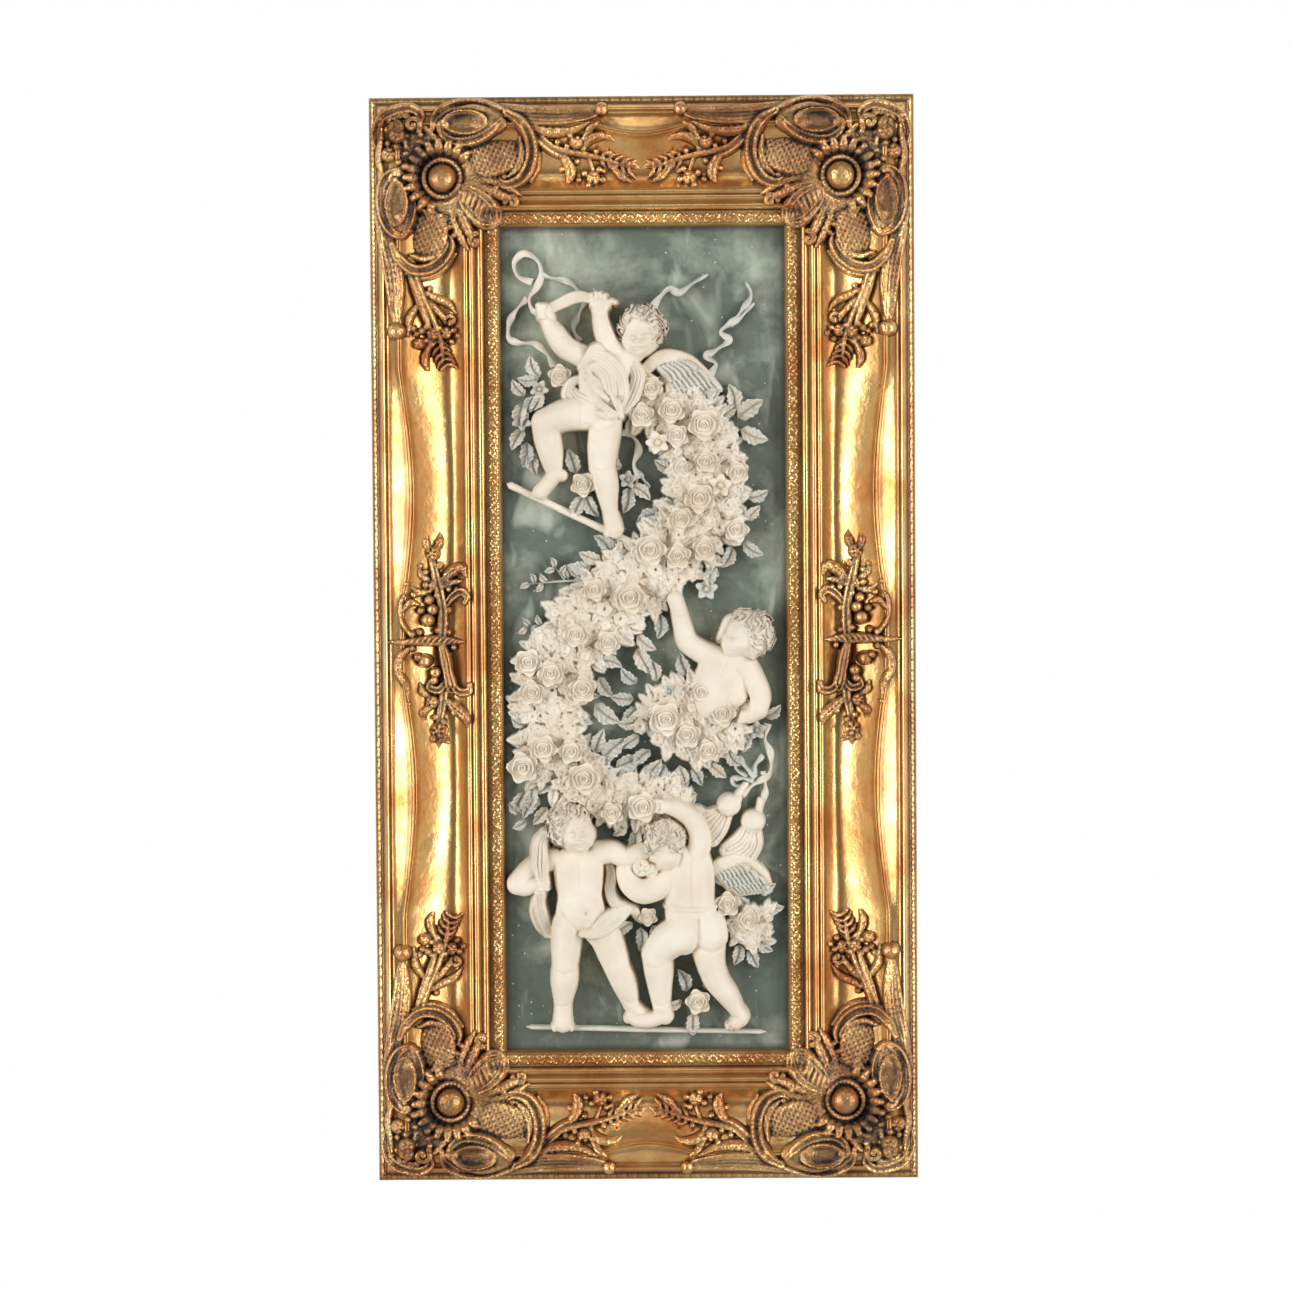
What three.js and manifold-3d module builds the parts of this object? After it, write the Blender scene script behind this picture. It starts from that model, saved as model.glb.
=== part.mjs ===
// A tall relief panel of four winged children, a rose garland and ribbons, cast in one with
// its ground and set in a swept rococo frame. Millimetres. X runs to the right, Z up, and the
// back lies on the wall plane Y = 0, so everything stands forward along -Y. The origin is on
// the flat back of the top rail, at the middle of its width, where the frame is hung.
import * as THREE from "three";
import { mergeVertices } from "three/addons/utils/BufferGeometryUtils.js";
import Module from "manifold-3d";

const wasm = await Module();
wasm.setup();

// Frame: outside size, rail section and the room between neighbouring pieces.
const frameWidth = 340;
const frameHeight = 680;
const railWidth = 81;
const sideHeight = 20;
const rimHeight = 38;
const scoopFloor = 17.5;
const innerHeight = 23;
const innerMouldings = 24;
const lipHeight = 16.5;
const rebateWidth = 7;
const rebateDepth = 12;
const jointGap = 0.3;

// The carved rim sways in and out between the castings.
const rimOffset = 14;
const sideSway = 10;
const sideSwayNear = 20;
const sideSwayFar = 180;
const shortSway = 8;
const shortSwayReach = 34;

// Panel: one casting of ground and relief, held in the rebate.
const plateThickness = 8;
const plateClearance = 1;

// The relief is drawn on a sheet of this size and fitted to the opening.
const drawnWidth = 178;
const drawnHeight = 518;

// Castings on the frame. A side casting is this long, half of it each way from the middle.
const castingClearance = 0.3;
const cabochonRadius = 8;
const cabochonPlace = 47;
const cabochonLift = 18;
const sideCastingLength = 136;

const sightWidth = frameWidth - 2 * railWidth;
const sightHeight = frameHeight - 2 * railWidth;
const backWidth = railWidth - rebateWidth;
const topEdge = backWidth / 2;
const bottomEdge = topEdge - frameHeight;
const plateFront = rebateDepth - jointGap;
const sightBottom = bottomEdge + railWidth;
const reliefScale = Math.min(sightWidth / drawnWidth, sightHeight / drawnHeight);

const gold = new THREE.MeshStandardMaterial({ color: 0xb07a2c, roughness: 0.35, metalness: 0.9 });
const ivory = new THREE.MeshStandardMaterial({ color: 0xe9dfcb, roughness: 0.5, metalness: 0 });

// A closed solid from rings of points: neighbouring rings are joined by quads and the two
// end rings are closed with flat faces.
function loft(rings) {
  const size = rings[0].length;
  const positions = rings.flat().flatMap((p) => [p.x, p.y, p.z]);
  const index = [];
  for (let k = 0; k + 1 < rings.length; k++) {
    for (let i = 0; i < size; i++) {
      const a = k * size + i;
      const b = k * size + ((i + 1) % size);
      index.push(a, b, a + size, b, b + size, a + size);
    }
  }
  const last = (rings.length - 1) * size;
  const flat = flatten(rings[0]);
  for (const [a, b, c] of THREE.ShapeUtils.triangulateShape(flat, [])) {
    const turned = THREE.ShapeUtils.area(flat) > 0;
    index.push(...(turned ? [c, b, a] : [a, b, c]));
    index.push(...(turned ? [last + a, last + b, last + c] : [last + c, last + b, last + a]));
  }
  const geometry = new THREE.BufferGeometry();
  geometry.setAttribute("position", new THREE.Float32BufferAttribute(positions, 3));
  geometry.setIndex(index);
  return geometry;
}

// A ring's points in its own plane, for closing the ends of a loft.
function flatten(ring) {
  const centre = ring.reduce((s, p) => s.add(p), new THREE.Vector3()).divideScalar(ring.length);
  const across = ring[0].clone().sub(centre).normalize();
  const normal = new THREE.Vector3();
  ring.forEach((p, i) => {
    const q = ring[(i + 1) % ring.length];
    normal.add(new THREE.Vector3().crossVectors(p.clone().sub(centre), q.clone().sub(centre)));
  });
  const up = normal.normalize().clone().cross(across);
  return ring.map((p) => {
    const d = p.clone().sub(centre);
    return new THREE.Vector2(d.dot(across), d.dot(up));
  });
}

// A geometry as a manifold solid, turned right side out.
function solid(geometry) {
  const bare = new THREE.BufferGeometry();
  bare.setAttribute("position", geometry.getAttribute("position"));
  if (geometry.index) bare.setIndex(geometry.index);
  const merged = mergeVertices(bare, 1e-4);
  const vertProperties = merged.getAttribute("position").array;
  const triVerts = new Uint32Array(merged.index.array);
  const made = new wasm.Manifold(new wasm.Mesh({ numProp: 3, vertProperties, triVerts }));
  if (made.volume() >= 0) return made;
  for (let i = 0; i < triVerts.length; i += 3) {
    [triVerts[i + 1], triVerts[i + 2]] = [triVerts[i + 2], triVerts[i + 1]];
  }
  return new wasm.Manifold(new wasm.Mesh({ numProp: 3, vertProperties, triVerts }));
}

// Several geometries joined into one solid.
function fuse(geometries) {
  return geometries.map(solid).reduce((whole, next) => whole.add(next));
}

// A named mesh from a manifold solid.
function meshOf(name, made, material) {
  const data = made.getMesh();
  const geometry = new THREE.BufferGeometry();
  geometry.setAttribute("position", new THREE.BufferAttribute(data.vertProperties, 3));
  geometry.setIndex(new THREE.BufferAttribute(data.triVerts, 1));
  geometry.computeVertexNormals();
  const mesh = new THREE.Mesh(geometry, material);
  mesh.name = name;
  return mesh;
}

// A bar through stations of a point, a half width and a half depth. Its section is a
// regular polygon fitted to that ellipse, and a three-sided one has its ridge to the front.
function taperedBar(stations, sides, steps) {
  const curve = new THREE.CatmullRomCurve3(stations.map((s) => s.at), false, "centripetal");
  const rings = [];
  for (let k = 0; k <= steps; k++) {
    const t = k / steps;
    const place = t * (stations.length - 1);
    const low = Math.min(Math.floor(place), stations.length - 2);
    const share = place - low;
    const wide = THREE.MathUtils.lerp(stations[low].wide, stations[low + 1].wide, share);
    const deep = THREE.MathUtils.lerp(stations[low].deep, stations[low + 1].deep, share);
    const centre = curve.getPoint(t);
    const along = curve.getTangent(t);
    const across = new THREE.Vector3(0, -1, 0).cross(along).normalize();
    const out = along.clone().cross(across).normalize();
    const ring = [];
    for (let i = 0; i < sides; i++) {
      const angle = Math.PI * ((2 * i) / sides + (sides === 3 ? 0.5 : 1 / sides));
      ring.push(
        centre
          .clone()
          .addScaledVector(across, wide * Math.cos(angle))
          .addScaledVector(out, deep * Math.sin(angle)),
      );
    }
    rings.push(ring);
  }
  return loft(rings);
}

// An ellipsoid with half sizes x, y, z about a centre.
function ellipsoid(centre, x, y, z, around, down) {
  return new THREE.SphereGeometry(1, around, down)
    .rotateX(Math.PI / 2)
    .scale(x, y, z)
    .translate(centre.x, centre.y, centre.z);
}

// A leaf: a ridged, pointed lozenge from its base to its tip, standing on what lies behind.
function leaf(base, tip, halfWidth, thickness, backDepth) {
  const along = tip.clone().sub(base);
  const across = new THREE.Vector3(0, -1, 0).cross(along).normalize();
  const middle = base.clone().addScaledVector(along, 0.45);
  const front = middle.clone().add(new THREE.Vector3(0, -thickness, 0));
  const back = middle.clone().add(new THREE.Vector3(0, backDepth, 0));
  const left = middle.clone().addScaledVector(across, halfWidth);
  const right = middle.clone().addScaledVector(across, -halfWidth);
  const geometry = new THREE.BufferGeometry().setFromPoints([base, tip, left, right, front, back]);
  geometry.setIndex([0, 2, 4, 2, 1, 4, 1, 3, 4, 3, 0, 4, 2, 0, 5, 1, 2, 5, 3, 1, 5, 0, 3, 5]);
  return geometry;
}

// A rose: a turned dome with a full rim, its axis pointing off the wall.
function rose(centre, radius, depth) {
  const petals = 5;
  const profile = [
    new THREE.Vector2(0, -depth),
    new THREE.Vector2(0.7 * radius, -depth),
    new THREE.Vector2(radius, 0),
    new THREE.Vector2(0, 0.55 * radius),
  ];
  return new THREE.LatheGeometry(profile, petals)
    .rotateX(Math.PI)
    .translate(centre.x, centre.y, centre.z);
}

// How far in from the outer edge the carved rim runs, at a distance from the rail's middle.
function rimAt(fromMiddle, isSide) {
  const near = isSide ? sideSwayNear : -shortSwayReach;
  const far = isSide ? sideSwayFar : shortSwayReach;
  const sway = isSide ? sideSway : shortSway;
  const share = (Math.abs(fromMiddle) - near) / (far - near);
  return rimOffset + (share > 0 && share < 1 ? sway * Math.sin(Math.PI * share) : 0);
}

// The rail's face as points [distance in from the outer edge, height off the wall]: beaded
// edge, torus, swaying rim, wide scoop, three reeds, carved band and sight lip.
function facePoints(rim) {
  const scoopStart = rim + 3;
  const scoopEnd = railWidth - innerMouldings;
  const inScoop = (share) => THREE.MathUtils.lerp(scoopStart, scoopEnd, share);
  return [
    [0, sideHeight],
    [3, sideHeight + 2.5],
    [5, sideHeight + 1.5],
    [8, rimHeight - 8],
    [rim, rimHeight],
    [scoopStart, rimHeight - 4],
    [inScoop(0.45), scoopFloor + 5],
    [inScoop(0.75), scoopFloor],
    [scoopEnd, innerHeight],
    [railWidth - 11, innerHeight - 1.5],
    [railWidth - 10, lipHeight + 1.5],
    [railWidth - 4, lipHeight + 4],
    [railWidth, lipHeight],
  ];
}

// Height of the rail's face at a distance in from the outer edge, where the rim is straight.
function faceHeight(inward) {
  const points = facePoints(rimOffset);
  const place = Math.min(inward, railWidth);
  const k = Math.max(1, points.findIndex((p) => p[0] >= place));
  const [t0, h0] = points[k - 1];
  const [t1, h1] = points[k];
  return h0 + ((h1 - h0) * (place - t0)) / (t1 - t0);
}

// One mitred rail, drawn as the top rail of a frame of the given length. Each section is a
// closed ring: the face, then the rebate and the flat back. Sections stand square across
// the swaying stretch, and the two ends stop short of the mitre.
function railGeometry(length, isSide, short) {
  const steps = isSide ? 4 : 2;
  const near = isSide ? sideSwayNear : 0;
  const far = isSide ? sideSwayFar : shortSwayReach;
  const half = Array.from({ length: steps + 1 }, (_, k) => near + ((far - near) * k) / steps);
  const mirrored = half.filter((place) => place > 0).map((place) => -place);
  const places = [...mirrored.reverse(), ...half];
  const ringAt = (rim, alongAt) =>
    [
      ...facePoints(rim),
      [railWidth, rebateDepth],
      [backWidth, rebateDepth],
      [backWidth, 0],
      [0, 0],
    ].map(([inward, height]) => new THREE.Vector3(alongAt(inward), -height, -inward));
  const mitre = (inward) => length / 2 - inward - short;
  return loft([
    ringAt(rimOffset, (inward) => -mitre(inward)),
    ...places.map((place) => ringAt(rimAt(place, isSide), () => place)),
    ringAt(rimOffset, mitre),
  ]);
}

// The four rails, each turned about Y and moved to its own edge.
function railSolids(short) {
  const middle = (topEdge + bottomEdge) / 2;
  const place = (length, isSide, turn, x, z) =>
    solid(railGeometry(length, isSide, short).rotateY(turn).translate(x, 0, z));
  return {
    rail_top: place(frameWidth, false, 0, 0, topEdge),
    rail_bottom: place(frameWidth, false, Math.PI, 0, bottomEdge),
    rail_left: place(frameHeight, true, -Math.PI / 2, -frameWidth / 2, middle),
    rail_right: place(frameHeight, true, Math.PI / 2, frameWidth / 2, middle),
  };
}

// A point of the relief drawing (u right, v up, h off the ground) in the frame.
function onPanel(u, v, h) {
  const x = (u - drawnWidth / 2) * reliefScale;
  const z = sightBottom + sightHeight / 2 + (v - drawnHeight / 2) * reliefScale;
  return new THREE.Vector3(x, -plateFront - h * reliefScale, z);
}

// A limb or strap through drawing stations [u, v, h, half width], flattened by a share.
function limb(stations, sides = 5, flatness = 1, steps = stations.length - 1) {
  const placed = stations.map(([u, v, h, r]) => ({
    at: onPanel(u, v, h),
    wide: r * reliefScale,
    deep: r * flatness * reliefScale,
  }));
  return taperedBar(placed, sides, steps);
}

function headAt([u, v, h, r]) {
  const size = r * reliefScale;
  return ellipsoid(onPanel(u, v, h), size * 0.94, size * 0.9, size, 7, 5);
}

function roseAt(u, v, h, r) {
  return rose(onPanel(u, v, h), r * reliefScale, h * reliefScale + 1);
}

function leafAt(u, v, h, length, angle) {
  const base = onPanel(u, v, h);
  const reach = length * reliefScale;
  const tip = base.clone().add(
    new THREE.Vector3(reach * Math.cos(angle), 0.3 * h * reliefScale, reach * Math.sin(angle)),
  );
  return leaf(base, tip, reach * 0.28, 1.4 * reliefScale, h * reliefScale);
}

// The upper child, stepping along a pole with both arms raised to a ribbon.
const upperChild = {
  heads: [[88, 453, 12, 13.5]],
  limbs: [
    [[84, 444, 11, 6], [74, 437, 11, 9], [65, 428, 11, 12.5], [63, 413, 11, 11], [62, 402, 10, 11.5]],
    [[56, 434, 11, 6.5], [45, 440, 13, 6.2], [35, 449, 14, 5.4], [27, 467, 12, 4.4]],
    [[69, 438, 13, 6.5], [66, 450, 16, 6], [62, 466, 16, 4], [61, 474, 15, 4.6]],
    [[58, 403, 11, 10.5], [42, 402, 14, 9.5], [28, 397, 15, 8], [30, 384, 13, 7.6], [33, 367, 10, 5]],
    [[34, 364, 9, 4.8], [27, 357, 9, 4.4], [21, 352, 9, 3]],
    [[66, 402, 11, 10.5], [64, 385, 12, 9.4], [64, 371, 12, 8], [66, 358, 11, 7.4], [68, 339, 9, 4.6]],
    [[68, 338, 9, 4.8], [70, 331, 10, 4.8], [70, 327, 9, 3]],
  ],
};

// The middle child, reaching up into the garland above a bunch of roses.
const middleChild = {
  heads: [[156, 265, 11, 14.5]],
  limbs: [
    [[149, 254, 10, 7], [142, 243, 9, 12], [138, 228, 8, 13], [134, 214, 6, 12]],
    [[137, 245, 10, 7.5], [124, 251, 11, 7], [116, 261, 11, 6.3], [111, 284, 10, 4.6]],
    [[151, 246, 9, 7], [158, 234, 10, 6.5], [162, 223, 10, 6], [160, 212, 9, 4.5]],
  ],
};

// The lower left child, standing to the front under the garland.
const frontChild = {
  heads: [[44, 140, 13, 13]],
  limbs: [
    [[46, 129, 11, 6.5], [46, 119, 10, 13.5], [47, 106, 10, 13.2], [48, 93, 10, 13.6], [48, 82, 9, 14.5]],
    [[32, 121, 10, 7], [20, 114, 11, 6.6], [9, 105, 12, 6.2], [17, 106, 14, 5.2], [25, 108, 15, 4.6]],
    [[60, 126, 9, 7], [69, 127, 11, 6.4], [77, 123, 12, 6.2], [88, 125, 11, 5.4], [97, 127, 9, 4.6]],
    [[40, 82, 10, 10.4], [38, 67, 11, 10], [37, 54, 11, 8], [36, 43, 11, 7.6], [35, 26, 9, 4.8]],
    [[35, 25, 9, 5], [35, 19, 10, 5], [35, 14, 8, 4]],
    [[56, 82, 10, 10.6], [63, 69, 11, 10], [69, 56, 11, 8], [73, 46, 10, 7.4], [80, 27, 8, 4.8]],
    [[80, 27, 8, 4.8], [84, 21, 7, 4.4], [88, 17, 6, 3]],
  ],
};

// The lower right child, striding to the left, seen from behind.
const backChild = {
  heads: [[101, 137, 13, 13.5]],
  limbs: [
    [[106, 127, 11, 7], [114, 119, 10, 12], [117, 104, 10, 12], [118, 90, 10, 12.6], [119, 76, 10, 15]],
    [[106, 113, 10, 6.5], [95, 104, 11, 7], [86, 101, 12, 7], [79, 108, 12, 6.4], [77, 118, 11, 5]],
    [[121, 119, 11, 7], [124, 132, 13, 6.6], [122, 143, 15, 6.2], [113, 150, 15, 5.6], [102, 154, 13, 4.4]],
    [[112, 76, 10, 11.5], [103, 66, 12, 11], [97, 58, 13, 9], [98, 46, 13, 8.6], [99, 25, 11, 5.2]],
    [[101, 22, 10, 5.8], [90, 18, 11, 4.8], [78, 19, 10, 3.4]],
    [[127, 74, 9, 12], [127, 59, 9, 10], [129, 48, 9, 8], [136, 38, 9, 7.4], [145, 24, 8, 5]],
    [[145, 24, 8, 5], [151, 17, 8, 5.2], [143, 13, 8, 3.6]],
  ],
};

// The S of the garland: stations [u, v, h, half width] from the upper child's hip down to
// the raised arm of the back child.
const garlandPath = [
  [82, 408, 9, 11],
  [104, 405, 9, 16],
  [122, 390, 9, 19],
  [128, 367, 9, 20],
  [126, 345, 9, 21],
  [117, 324, 9, 20],
  [98, 308, 9, 18],
  [78, 293, 9, 21],
  [59, 276, 9, 21],
  [41, 256, 9, 20],
  [31, 231, 9, 19],
  [29, 206, 9, 17],
  [34, 182, 9, 16],
  [50, 168, 10, 14],
  [72, 160, 10, 13],
  [94, 157, 10, 12],
  [114, 159, 8, 8],
];
const garlandCrown = 0.5;

// Open roses [u, v, radius]: on the garland, in the middle child's bunch, and set apart.
const garlandRoses = [
  [94, 417, 7], [107, 403, 8], [127, 394, 9.5], [88, 400, 7], [128, 371, 7], [111, 367, 6],
  [148, 364, 6.5], [124, 347, 8], [110, 333, 7], [147, 329, 7], [128, 316, 7.5], [110, 311, 8],
  [93, 317, 9], [80, 288, 9], [61, 291, 6.5], [46, 264, 7.5], [66, 258, 7], [31, 240, 8],
  [16, 246, 8], [50, 229, 8], [19, 227, 8], [26, 194, 8.5], [43, 191, 8], [13, 180, 9.5],
  [50, 172, 9.5], [87, 155, 9.5],
];
const bunchRoses = [[103, 210, 10], [125, 228, 7.5], [137, 213, 8], [120, 203, 9], [129, 188, 8]];
const looseRoses = [[37, 426, 7], [51, 357, 8], [79, 360, 6], [142, 93, 8.5], [157, 84, 8]];
const lowRoses = [[90, 84, 7], [122, 31, 8.5], [24, 418, 5]];

// Sprigs of leaves set apart from the garland: [u, v, leaf length, first angle, leaves].
const sprigs = [
  [146, 402, 17, -0.5, 3],
  [24, 425, 14, 1.6, 2],
  [22, 396, 18, 3.0, 3],
  [51, 357, 17, 4.1, 2],
  [79, 360, 15, -1.9, 2],
  [150, 331, 13, -0.7, 2],
  [34, 300, 15, 2.5, 2],
  [90, 84, 14, 3.6, 2],
  [122, 31, 15, 1.7, 2],
  [150, 80, 18, -1.9, 3],
];

function figureParts(figure) {
  return [...figure.heads.map(headAt), ...figure.limbs.map((stations) => limb(stations))];
}

// Leaves all along both edges of the garland, leaning down its length.
function garlandLeaves() {
  const curve = new THREE.CatmullRomCurve3(
    garlandPath.map(([u, v, , w]) => new THREE.Vector3(u, v, w)),
    false,
    "centripetal",
  );
  const leaves = [];
  const pairs = 11;
  const lean = 0.9;
  for (let k = 0; k < pairs; k++) {
    const t = (k + 0.5) / pairs;
    const here = curve.getPoint(t);
    const along = curve.getTangent(t);
    const heading = Math.atan2(along.y, along.x);
    for (const side of [-1, 1]) {
      const outward = heading + side * lean;
      const reach = here.z * 0.62;
      const u = here.x + reach * Math.cos(heading + (side * Math.PI) / 2);
      const v = here.y + reach * Math.sin(heading + (side * Math.PI) / 2);
      leaves.push(leafAt(u, v, 7, 17, outward));
    }
  }
  return leaves;
}

// Leaves round the middle child's bunch of roses.
function bunchLeaves() {
  const centre = { u: 117, v: 206, radius: 19 };
  const count = 8;
  return Array.from({ length: count }, (_, k) => {
    const angle = (2 * Math.PI * k) / count;
    const u = centre.u + centre.radius * Math.cos(angle);
    const v = centre.v + centre.radius * Math.sin(angle);
    return leafAt(u, v, 6, 17, angle - 0.3);
  });
}

function sprigLeaves() {
  const spread = 0.8;
  const sprigHeight = 4;
  return sprigs.flatMap(([u, v, length, angle, count]) =>
    Array.from({ length: count }, (_, k) =>
      leafAt(u, v, sprigHeight, length, angle + spread * (k - (count - 1) / 2)),
    ),
  );
}

// Wings, ribbons, straps of cloth, tassels, the pole and the ledge underfoot.
function attributes() {
  const wingFlatness = 0.35;
  const strapFlatness = 0.5;
  const wings = [
    [[88, 430, 8, 6], [103, 432, 8, 10], [119, 426, 7, 10], [136, 413, 5, 4]],
    [[130, 113, 8, 9], [146, 114, 8, 12], [158, 109, 6, 10], [166, 103, 4, 5]],
  ];
  const straps = [
    [[21, 140, 12, 4], [24, 122, 15, 4.5], [22, 95, 11, 4], [24, 74, 5, 4.5]],
    [[66, 118, 6, 4], [69, 104, 7, 4], [69, 92, 10, 6], [56, 79, 17, 7]],
    [[75, 392, 1, 3], [86, 380, 1, 3], [84, 369, 1, 3], [89, 358, 1, 4]],
    [[25, 468, 12, 3.4], [40, 469, 12, 4], [56, 473, 13, 4], [71, 474, 14, 3]],
  ];
  const ribbonHalfWidth = 1.8;
  const ribbonHeight = 1.2;
  const ribbons = [
    [[20, 484], [11, 490], [17, 500], [25, 492], [24, 480], [19, 469], [27, 465]],
    [[25, 490], [44, 486], [51, 476]],
    [[16, 471], [7, 459], [11, 447], [25, 444], [33, 432]],
    [[94, 469], [106, 481], [113, 479], [129, 489]],
    [[131, 427], [134, 433], [129, 439], [143, 447], [138, 453], [150, 461], [158, 470]],
    [[166, 203], [165, 190], [168, 180], [158, 170], [146, 158]],
    [[148, 182], [155, 175], [147, 168], [160, 170], [165, 160], [160, 146]],
  ];
  const tassels = [
    [[146, 158, 8, 3], [141, 153, 8, 6], [134, 144, 8, 8], [130, 133, 6, 8]],
    [[160, 147, 8, 3], [156, 137, 8, 6.5], [148, 131, 8, 8], [138, 126, 6, 7]],
  ];
  return [
    ...wings.map((s) => limb(s, 6, wingFlatness)),
    ...straps.map((s) => limb(s, 4, strapFlatness)),
    ...ribbons.map((s) => limb(s.map(([u, v]) => [u, v, ribbonHeight, ribbonHalfWidth]), 3, 1.5)),
    ...tassels.map((s) => limb(s, 6, 0.8)),
    limb([[3, 358, 4, 2.3], [42, 340, 5, 2.3], [82, 320, 6, 2.3]], 6, 1, 2),
    limb([[12, 15, 3, 1.8], [88, 13, 4, 2.6], [164, 11, 3, 1.8]], 4, 2.4, 2),
  ];
}

// The panel: a plate with everything on it, in one solid.
function reliefPanel() {
  const slack = 2 * (rebateWidth - plateClearance);
  const plate = new THREE.BoxGeometry(
    sightWidth + slack,
    plateThickness,
    sightHeight + slack,
  ).translate(0, plateThickness / 2 - plateFront, sightBottom + sightHeight / 2);
  const garlandSides = 4;
  const garlandSteps = 12;
  return fuse([
    plate,
    ...[upperChild, middleChild, frontChild, backChild].flatMap(figureParts),
    limb(garlandPath, garlandSides, garlandCrown, garlandSteps),
    limb([[98, 205, 6, 10], [117, 207, 8, 20], [138, 212, 6, 12]], garlandSides, garlandCrown),
    ...garlandRoses.map(([u, v, r]) => roseAt(u, v, 15, r)),
    ...bunchRoses.map(([u, v, r]) => roseAt(u, v, 15, r)),
    ...looseRoses.map(([u, v, r]) => roseAt(u, v, 10, r)),
    ...lowRoses.map(([u, v, r]) => roseAt(u, v, 8, r)),
    ...garlandLeaves(),
    ...bunchLeaves(),
    ...sprigLeaves(),
    ...attributes(),
  ]);
}

// The castings are drawn on a rail this wide, with corner arms that end this far along and
// a side casting this long.
const drawnRail = 81;
const drawnReach = 170;
const drawnSideLength = 136;

// A drawn distance from the outer corner, fitted to the rail and then to its half length.
function cornerDistance(drawn) {
  const onRail = Math.min(drawn, drawnRail) / drawnRail;
  const alongArm = Math.max(drawn - drawnRail, 0) / (drawnReach - drawnRail);
  return onRail * railWidth + alongArm * (frameWidth / 2 - railWidth);
}

// A corner casting is drawn for the top left corner: a runs right and b down from the outer
// corner, and lift is the height above the rail's face. It is the same about its diagonal.
function onCorner(a, b, lift) {
  const right = cornerDistance(a);
  const down = cornerDistance(b);
  const height = faceHeight(Math.min(right, down)) + lift;
  return new THREE.Vector3(right - frameWidth / 2, -height, topEdge - down);
}

function cornerBar(stations, sides = 3, flatness = 1) {
  const placed = stations.map(([a, b, lift, r]) => ({
    at: onCorner(a, b, lift),
    wide: r,
    deep: r * flatness,
  }));
  return taperedBar(placed, sides, stations.length - 1);
}

// The half of the corner casting that lies along the top rail.
function cornerHalf() {
  const strands = [
    // Rim of the pierced oval, running on as the C-scroll round the trellis field.
    [[44, 30, 4, 6], [47, 15, 2, 6], [52, 9, 3, 5], [82, 9, 3, 5], [101, 27, 4, 7], [100, 46, 4, 6], [80, 53, 5, 6]],
    // Sheaf of leaves running to the ball.
    [[82, 11, 3, 7], [98, 13, 2, 8], [116, 13, 2, 9], [146, 10, 2, 5]],
    // Stem of the flower spray, to the tip of its last leaf.
    [[104, 30, 4, 7], [130, 37, 4, 8], [169, 43, 2, 3]],
    // Leaf and flower that cross the stem.
    [[138, 23, 3, 5], [141, 52, 3, 8]],
  ];
  const fieldSides = 4;
  const fieldRise = 0.5;
  return [
    ...strands.map((stations) => cornerBar(stations)),
    cornerBar([[60, 34, 6, 14], [93, 40, 4, 13]], fieldSides, fieldRise),
  ];
}

// The whole corner casting, before it is cut to lie on the rails.
function cornerCasting() {
  const half = cornerHalf();
  const turned = half.map((geometry) => {
    const copy = geometry.clone();
    const position = copy.getAttribute("position");
    for (let i = 0; i < position.count; i++) {
      const a = position.getX(i) + frameWidth / 2;
      const b = topEdge - position.getZ(i);
      position.setX(i, b - frameWidth / 2);
      position.setZ(i, topEdge - a);
    }
    return copy;
  });
  const bedSides = 5;
  const bedRise = 0.5;
  const cabochon = onCorner(cabochonPlace, cabochonPlace, cabochonLift);
  const middle = [
    cornerBar([[16, 16, 0, 17], [44, 44, 7, 24], [76, 76, 4, 8]], bedSides, bedRise),
    ellipsoid(cabochon, cabochonRadius, cabochonRadius, cabochonRadius, 8, 5),
  ];
  return fuse([...half, ...turned, ...middle]);
}

// Casting at the middle of a side rail: inward from the outer edge, and along from its middle.
function onSide(drawnInward, drawnAlong, lift) {
  const along = (drawnAlong * sideCastingLength) / drawnSideLength;
  const inward = cornerDistance(drawnInward);
  const height = faceHeight(inward) + lift;
  const middle = (topEdge + bottomEdge) / 2;
  return new THREE.Vector3(inward - frameWidth / 2, -height, middle + along);
}

function sideBar(stations, way) {
  const placed = stations.map(([inward, along, lift, r]) => ({
    at: onSide(inward, way * along, lift),
    wide: r,
    deep: r,
  }));
  return taperedBar(placed, 3, stations.length - 1);
}

function sideCasting() {
  const crossBand = [[12, 0, 1, 5], [26, 0, 4, 7], [44, 0, 4, 8], [57, 0, 1, 3]];
  const strands = [
    // Stem with its buds, up to the tip.
    [[40, -2, 4, 7], [44, 16, 4, 6], [40, 34, 4, 6], [36, 68, 3, 4]],
    // Scroll along the rim.
    [[34, -2, 4, 5], [19, 12, 2, 5], [25, 33, 2, 3]],
    // Curl reaching over the scoop.
    [[43, 16, 4, 5], [55, 29, 2, 4]],
    // Leaf and flower that cross the stem.
    [[28, 46, 3, 5], [51, 46, 3, 6]],
  ];
  const bothWays = [1, -1].flatMap((way) => strands.map((stations) => sideBar(stations, way)));
  return fuse([...bothWays, sideBar(crossBand, 1)]);
}

const rails = railSolids(jointGap / 2);
const seat = Object.values(railSolids(-jointGap / 2))
  .reduce((whole, rail) => whole.add(rail))
  .translate(0, -castingClearance, 0);
const corner = cornerCasting();
const side = sideCasting();
const acrossMiddle = (topEdge + bottomEdge) / 2;
const flipSide = (made) => made.mirror([1, 0, 0]);
const flipUp = (made) =>
  made.translate(0, 0, -acrossMiddle).mirror([0, 0, 1]).translate(0, 0, acrossMiddle);
const castings = {
  corner_casting_top_left: corner,
  corner_casting_top_right: flipSide(corner),
  corner_casting_bottom_left: flipUp(corner),
  corner_casting_bottom_right: flipUp(flipSide(corner)),
  side_casting_left: side,
  side_casting_right: flipSide(side),
};

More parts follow.
